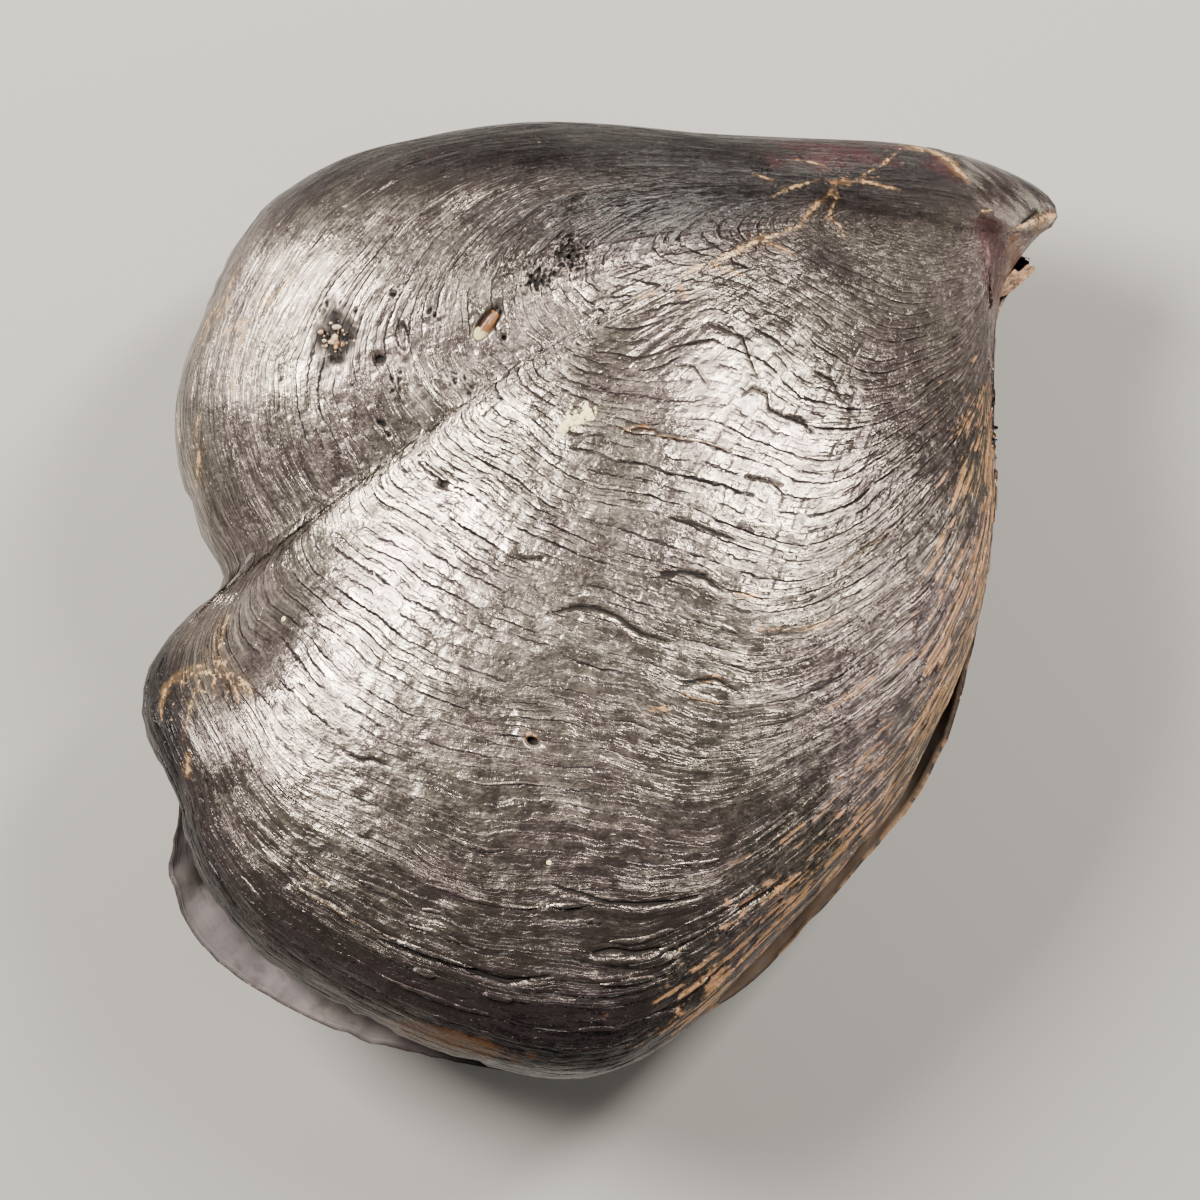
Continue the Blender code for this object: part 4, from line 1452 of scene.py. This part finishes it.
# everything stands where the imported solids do
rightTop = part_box("right_valve")[1].z / mm
seat = np.array([(cadLow[0] + cadHigh[0]) / 2 / mm, (cadLow[1] + cadHigh[1]) / 2 / mm, rightTop])
low = np.minimum(rightValve["low"], leftValve["low"])
high = np.maximum(rightValve["high"], leftValve["high"])
seat -= np.array([(low[0] + high[0]) / 2, (low[1] + high[1]) / 2, rightValve["high"][2]])
print("the valves' middle plane is", round(seat[2], 2), "mm up")
for item, slot, nodes in (
        (rightItem, "right_valve", ["right_valve"]), (leftItem, "left_valve", ["left_valve"]),
        (rightLayers, "right_valve", []), (leftLayers, "left_valve", [])):
    placed = vertexPlaces(item.data) + seat
    placed[:, 2] = np.maximum(placed[:, 2], 0)
    setPlaces(item.data, placed * mm)
    claim(item, hornFinish, slot, *nodes)

rightSurface = BVHTree.FromPolygons([vertex.co for vertex in rightItem.data.vertices],
                                    [face.vertices for face in rightItem.data.polygons])


def onRightValve(x, y):
    # point and normal of the finished right valve, from plan coordinates, in metres
    above = Vector(((x + seat[0]) * mm, (y + seat[1]) * mm, 0.2))
    return rightSurface.ray_cast(above, (0, 0, -1))[:2]


def lieOn(item, x, y, degrees, lift):
    # turn a piece on to the valve at a place, with its place left in its mesh
    spot, normal = onRightValve(x, y)
    flat = Matrix.Rotation(math.radians(degrees), 4, "Z")
    tilt = Vector((0, 0, 1)).rotation_difference(normal).to_matrix().to_4x4()
    item.data.transform(Matrix.Translation(spot + normal * lift * mm) @ tilt @ flat)


def joinAll(items, name):
    bpy.ops.object.select_all(action="DESELECT")
    for item in items:
        item.select_set(True)
    bpy.context.view_layer.objects.active = items[0]
    bpy.ops.object.join()
    items[0].name = name
    items[0].data.name = name
    return items[0]


def addBall(rounds, radius, squash, chance):
    bpy.ops.object.select_all(action="DESELECT")
    bpy.ops.mesh.primitive_ico_sphere_add(subdivisions=rounds, radius=1)
    ball = bpy.context.object
    places = vertexPlaces(ball.data)
    places *= 1 + 0.16 * softNoise(places + chance.uniform(0, 50, 3), 0.8, 5)[:, None]
    setPlaces(ball.data, places * radius * mm * np.array(squash))
    return ball


def applyModifier(item, kind, **settings):
    bpy.context.view_layer.objects.active = item
    modifier = item.modifiers.new(kind.lower(), kind)
    for name, value in settings.items():
        setattr(modifier, name, value)
    bpy.ops.object.modifier_apply(modifier=modifier.name)


crust = {
    "lumps": [
        (-8.2, 38.6, 1.25), (-7.6, 39.8, 1.1), (-6.8, 40.9, 1.0), (-6, 40, 1.0), (-4.9, 40.2, 0.8),
        (-5.2, 41.4, 0.85), (-4.2, 41.2, 0.7), (-3.4, 41.9, 0.9), (-2.7, 42.6, 1.05), (-3.1, 43.5, 0.85),
        (-2.1, 42.0, 0.85), (-1.6, 41.2, 0.7), (-2.5, 40.9, 0.55), (-3.6, 40.2, 0.5), (-2.9, 44.6, 0.5),
        (-7.2, 42.2, 0.5), (-6.4, 43.6, 0.45), (-6.1, 45, 0.35), (-5.4, 42.7, 0.5), (-9.3, 36.4, 0.5),
        (-8.9, 36.9, 0.5), (-5.5, 38.3, 0.4), (-0.9, 43.4, 0.45), (-0.8, 42.4, 0.4),
    ],
    "flatness": 0.42,
    "voxel": 0.00016,
    "seed": 3,
}


def makeCrust():
    chance = np.random.default_rng(crust["seed"])
    balls = []
    for x, y, radius in crust["lumps"]:
        ball = addBall(3, radius, (1, 1, crust["flatness"]), chance)
        lieOn(ball, x, y, chance.uniform(0, 180), 0.0)
        balls.append(ball)
    item = joinAll(balls, "lime_crust_lumps")
    applyModifier(item, "REMESH", mode="VOXEL", voxel_size=crust["voxel"])
    places = vertexPlaces(item.data)
    away = 0.00012 * layeredNoise(places, 0.0009, 8)
    normals = np.empty(len(item.data.vertices) * 3)
    item.data.vertices.foreach_get("normal", normals)
    setPlaces(item.data, places + normals.reshape(-1, 3) * away[:, None])
    item.data.shade_smooth()
    return item


clam = {
    "place": (-25.4, 62.8),
    "half": (4.5, 1.5, 1.3),
    "degrees": 53,
    "lift": 1.5,
    "rings": 64,
    "segments": 40,
    "capFrom": 0.70,  # where its narrow cap starts, from -1 to 1 along it
    "ribs": 46,
}


def makeClam():
    bpy.ops.object.select_all(action="DESELECT")
    bpy.ops.mesh.primitive_uv_sphere_add(segments=clam["segments"], ring_count=clam["rings"], radius=1)
    item = bpy.context.object
    item.name = "boring_clam_shell"
    item.data.name = item.name
    places = vertexPlaces(item.data)[:, [2, 0, 1]]  # its poles at its two ends
    along, across, height = places.T
    storeVector(item.data, "tone", (along, across, height))
    cap = clam["capFrom"]
    full = 1 - 0.10 * smoothStep(cap, cap + 0.06, along) + 0.10 * smoothStep(-0.35, -0.6, along)
    ribbed = smoothStep(0.6, 0.4, along) * smoothStep(-0.5, -0.3, along)
    full *= 1 + 0.03 * np.sin(along * clam["ribs"]) * ribbed
    full -= 0.06 * np.exp(-((along - cap - 0.01) / 0.025) ** 2)
    hump = 1 + 0.12 * softNoise(places * 2.2, 1, 6)
    low = smoothStep(-0.35, -0.8, along)
    across = across * full * hump * (1 + 0.3 * low)
    height = height * full * (1 - 0.35 * low)
    shaped = np.column_stack([along, across, height])
    setPlaces(item.data, shaped * np.array(clam["half"]) * mm)
    mergeAndTurnOut(item, 0.000002)
    lieOn(item, *clam["place"], clam["degrees"], clam["lift"])
    return item


grains = {"count": 60, "radius": (0.25, 0.95), "seed": 14, "spread": (3.6, 4.8)}
dots = {
    "spots": [(-72.5, -4.4, 0.6), (67.9, -3.4, 0.5), (-11.4, -59.5, 0.6), (47.1, -14.3, 0.3),
              (60, 22, 0.28), (31, 62, 0.3)],
    "seed": 8,
}


def makeGrains():
    chance = np.random.default_rng(grains["seed"])
    small, large = grains["radius"]
    balls = []
    for index in range(grains["count"]):
        offset = chance.normal(0, 0.45, 2) * grains["spread"]
        radius = small + (large - small) * chance.random() ** 2.5
        ball = addBall(2, radius, chance.uniform(0.6, 1.2, 3), chance)
        places = vertexPlaces(ball.data)
        dented = 1 + 0.3 * softNoise(places / (radius * mm) + chance.uniform(0, 50, 3), 0.9, 6)
        setPlaces(ball.data, places * dented[:, None])
        kind = np.full(len(ball.data.vertices), chance.random())
        storeVector(ball.data, "tone", (kind, kind, kind))
        lieOn(ball, *(grainPit["centre"] + offset), 0, 0.25 * radius)
        balls.append(ball)
    item = joinAll(balls, "pit_grains")
    item.data.shade_smooth()
    return item


def makeDots():
    chance = np.random.default_rng(dots["seed"])
    balls = []
    for x, y, radius in dots["spots"]:
        ball = addBall(3, radius, (1, 1, 0.5), chance)
        lieOn(ball, x, y, 0, 0.1)
        balls.append(ball)
    item = joinAll(balls, "lime_dots")
    item.data.shade_smooth()
    return item


ligament = {"span": (0.03, 0.17), "inset": (0.9, 5.0), "half": 0.62, "columns": 18, "rows": 260}


def makeLigament():
    # a closed strip in the gap along the hinge, with threads along it
    item = addGrid("hinge_ligament_strip", ligament["columns"], ligament["rows"])
    shares = vertexPlaces(item.data)
    around = (shares[:, 0] + 1) * math.pi
    along = (shares[:, 1] + 1) / 2
    first, last = ligament["span"]
    edge, inward = onMargin(rightValve["curve"], first + (last - first) * along)
    near, far = ligament["inset"]
    ends = np.sqrt(np.clip(1 - (2 * along - 1) ** 8, 0, 1))
    across = (near + far) / 2 + (far - near) / 2 * np.cos(around) * ends
    thread = 0.07 * softNoise(np.column_stack([np.cos(around) * 9, np.sin(around) * 9, along * 20]), 1, 4)
    up = (ligament["half"] + thread) * np.sin(around) * ends
    places = np.column_stack([edge + inward * across[:, None], up])
    setPlaces(item.data, (places + seat) * mm)
    mergeAndTurnOut(item, 0.000002)
    return item


flake = {
    "outline": [(96.2, 73), (98.6, 73.8), (101.6, 76.4), (103, 77.4), (104.6, 79.6), (102.6, 80.4), (101, 79),
                (99.6, 79.4), (98, 77.6), (96, 76.8)],
    "half": 0.35,
    "lift": 0.5,
}


def makeFlake():
    # the broken chip at the far valve's beak
    bpy.ops.object.select_all(action="DESELECT")
    bpy.ops.mesh.primitive_cylinder_add(vertices=120, radius=1, depth=2, end_fill_type="TRIFAN")
    item = bpy.context.object
    places = vertexPlaces(item.data)
    reach = np.linalg.norm(places[:, :2], axis=1)
    curve = closedSpline(flake["outline"])[0]
    turn = np.arctan2(places[:, 1], places[:, 0]) / (2 * math.pi) % 1
    rim = onMargin(curve, turn)[0]
    middle = np.mean(flake["outline"], axis=0)
    rim = rim + 0.3 * softNoise(rim, 0.7, 4)[:, None]
    plan = np.where(reach[:, None] > 0.5, rim, middle)
    up = flake["lift"] + flake["half"] * places[:, 2] + 0.25 * softNoise(plan, 2.5, 9)
    setPlaces(item.data, (np.column_stack([plan, up]) + seat) * mm)
    tip = np.ones(len(places))
    storeVector(item.data, "layers", (0 * tip, 0 * tip, 0.5 * tip))
    give(item, hornFinish)
    return item


leftLayers = joinAll([leftLayers, makeFlake()], "left_valve_layers")

limeFinish = makeLime()
claim(makeCrust(), limeFinish, "lime", "lime_crust")
claim(makeClam(), makeClamFinish(), "clam", "boring_clam")
claim(makeGrains(), makeGrainFinish(), "lime")
claim(makeDots(), limeFinish, "lime")
claim(makeLigament(), makeLigamentFinish(), "ligament", "hinge_ligament")
print("small pieces shaped and finished")

studio = {
    "floorColour": (0.225, 0.222, 0.217),
    "lamps": (
        # where it stands, its sides and its power
        ((-0.62, 0.40, 0.93), (0.36, 0.46), 56),
        ((0.53, 0.54, 0.95), (0.18, 0.52), 32),
        ((0.95, -0.15, 0.50), (0.40, 0.40), 8),
    ),
    "aim": (0, 0, 0.06),
    "lampColour": (1.0, 0.94, 0.85),
    "fill": 0.05,
    "fillColour": (0.9, 0.93, 1.0),
    "floorSide": 6,
}
bpy.ops.mesh.primitive_plane_add(size=studio["floorSide"], location=(0, 0, 0))
floor = bpy.context.object
floor.name = "studio_floor"
give(floor, makeFloorFinish(studio["floorColour"]))

for place, (wide, high), power in studio["lamps"]:
    lamp = bpy.data.lights.new("softbox", "AREA")
    lamp.shape = "RECTANGLE"
    lamp.size = wide
    lamp.size_y = high
    lamp.energy = power
    lamp.color = studio["lampColour"]
    stand = bpy.data.objects.new("softbox", lamp)
    stand.location = place
    stand.rotation_euler = (Vector(studio["aim"]) - Vector(place)).to_track_quat("-Z", "Y").to_euler()
    bpy.context.scene.collection.objects.link(stand)

world = bpy.data.worlds.new("studio")
bpy.context.scene.world = world
world.use_nodes = True
world.node_tree.nodes["Background"].inputs["Color"].default_value = (*studio["fillColour"], 1)
world.node_tree.nodes["Background"].inputs["Strength"].default_value = studio["fill"]

view = {"height": 1.0, "width": 0.288, "sensor": 36}  # the view's width is at the valves' middle plane
camera = bpy.data.cameras.new("camera")
camera.sensor_width = view["sensor"]
camera.lens = view["sensor"] * view["height"] / view["width"]
cameraItem = bpy.data.objects.new("camera", camera)
cameraItem.location = (0, seat[1] * mm, view["height"] + seat[2] * mm)
bpy.context.scene.collection.objects.link(cameraItem)
bpy.context.scene.camera = cameraItem
print("studio and camera placed")
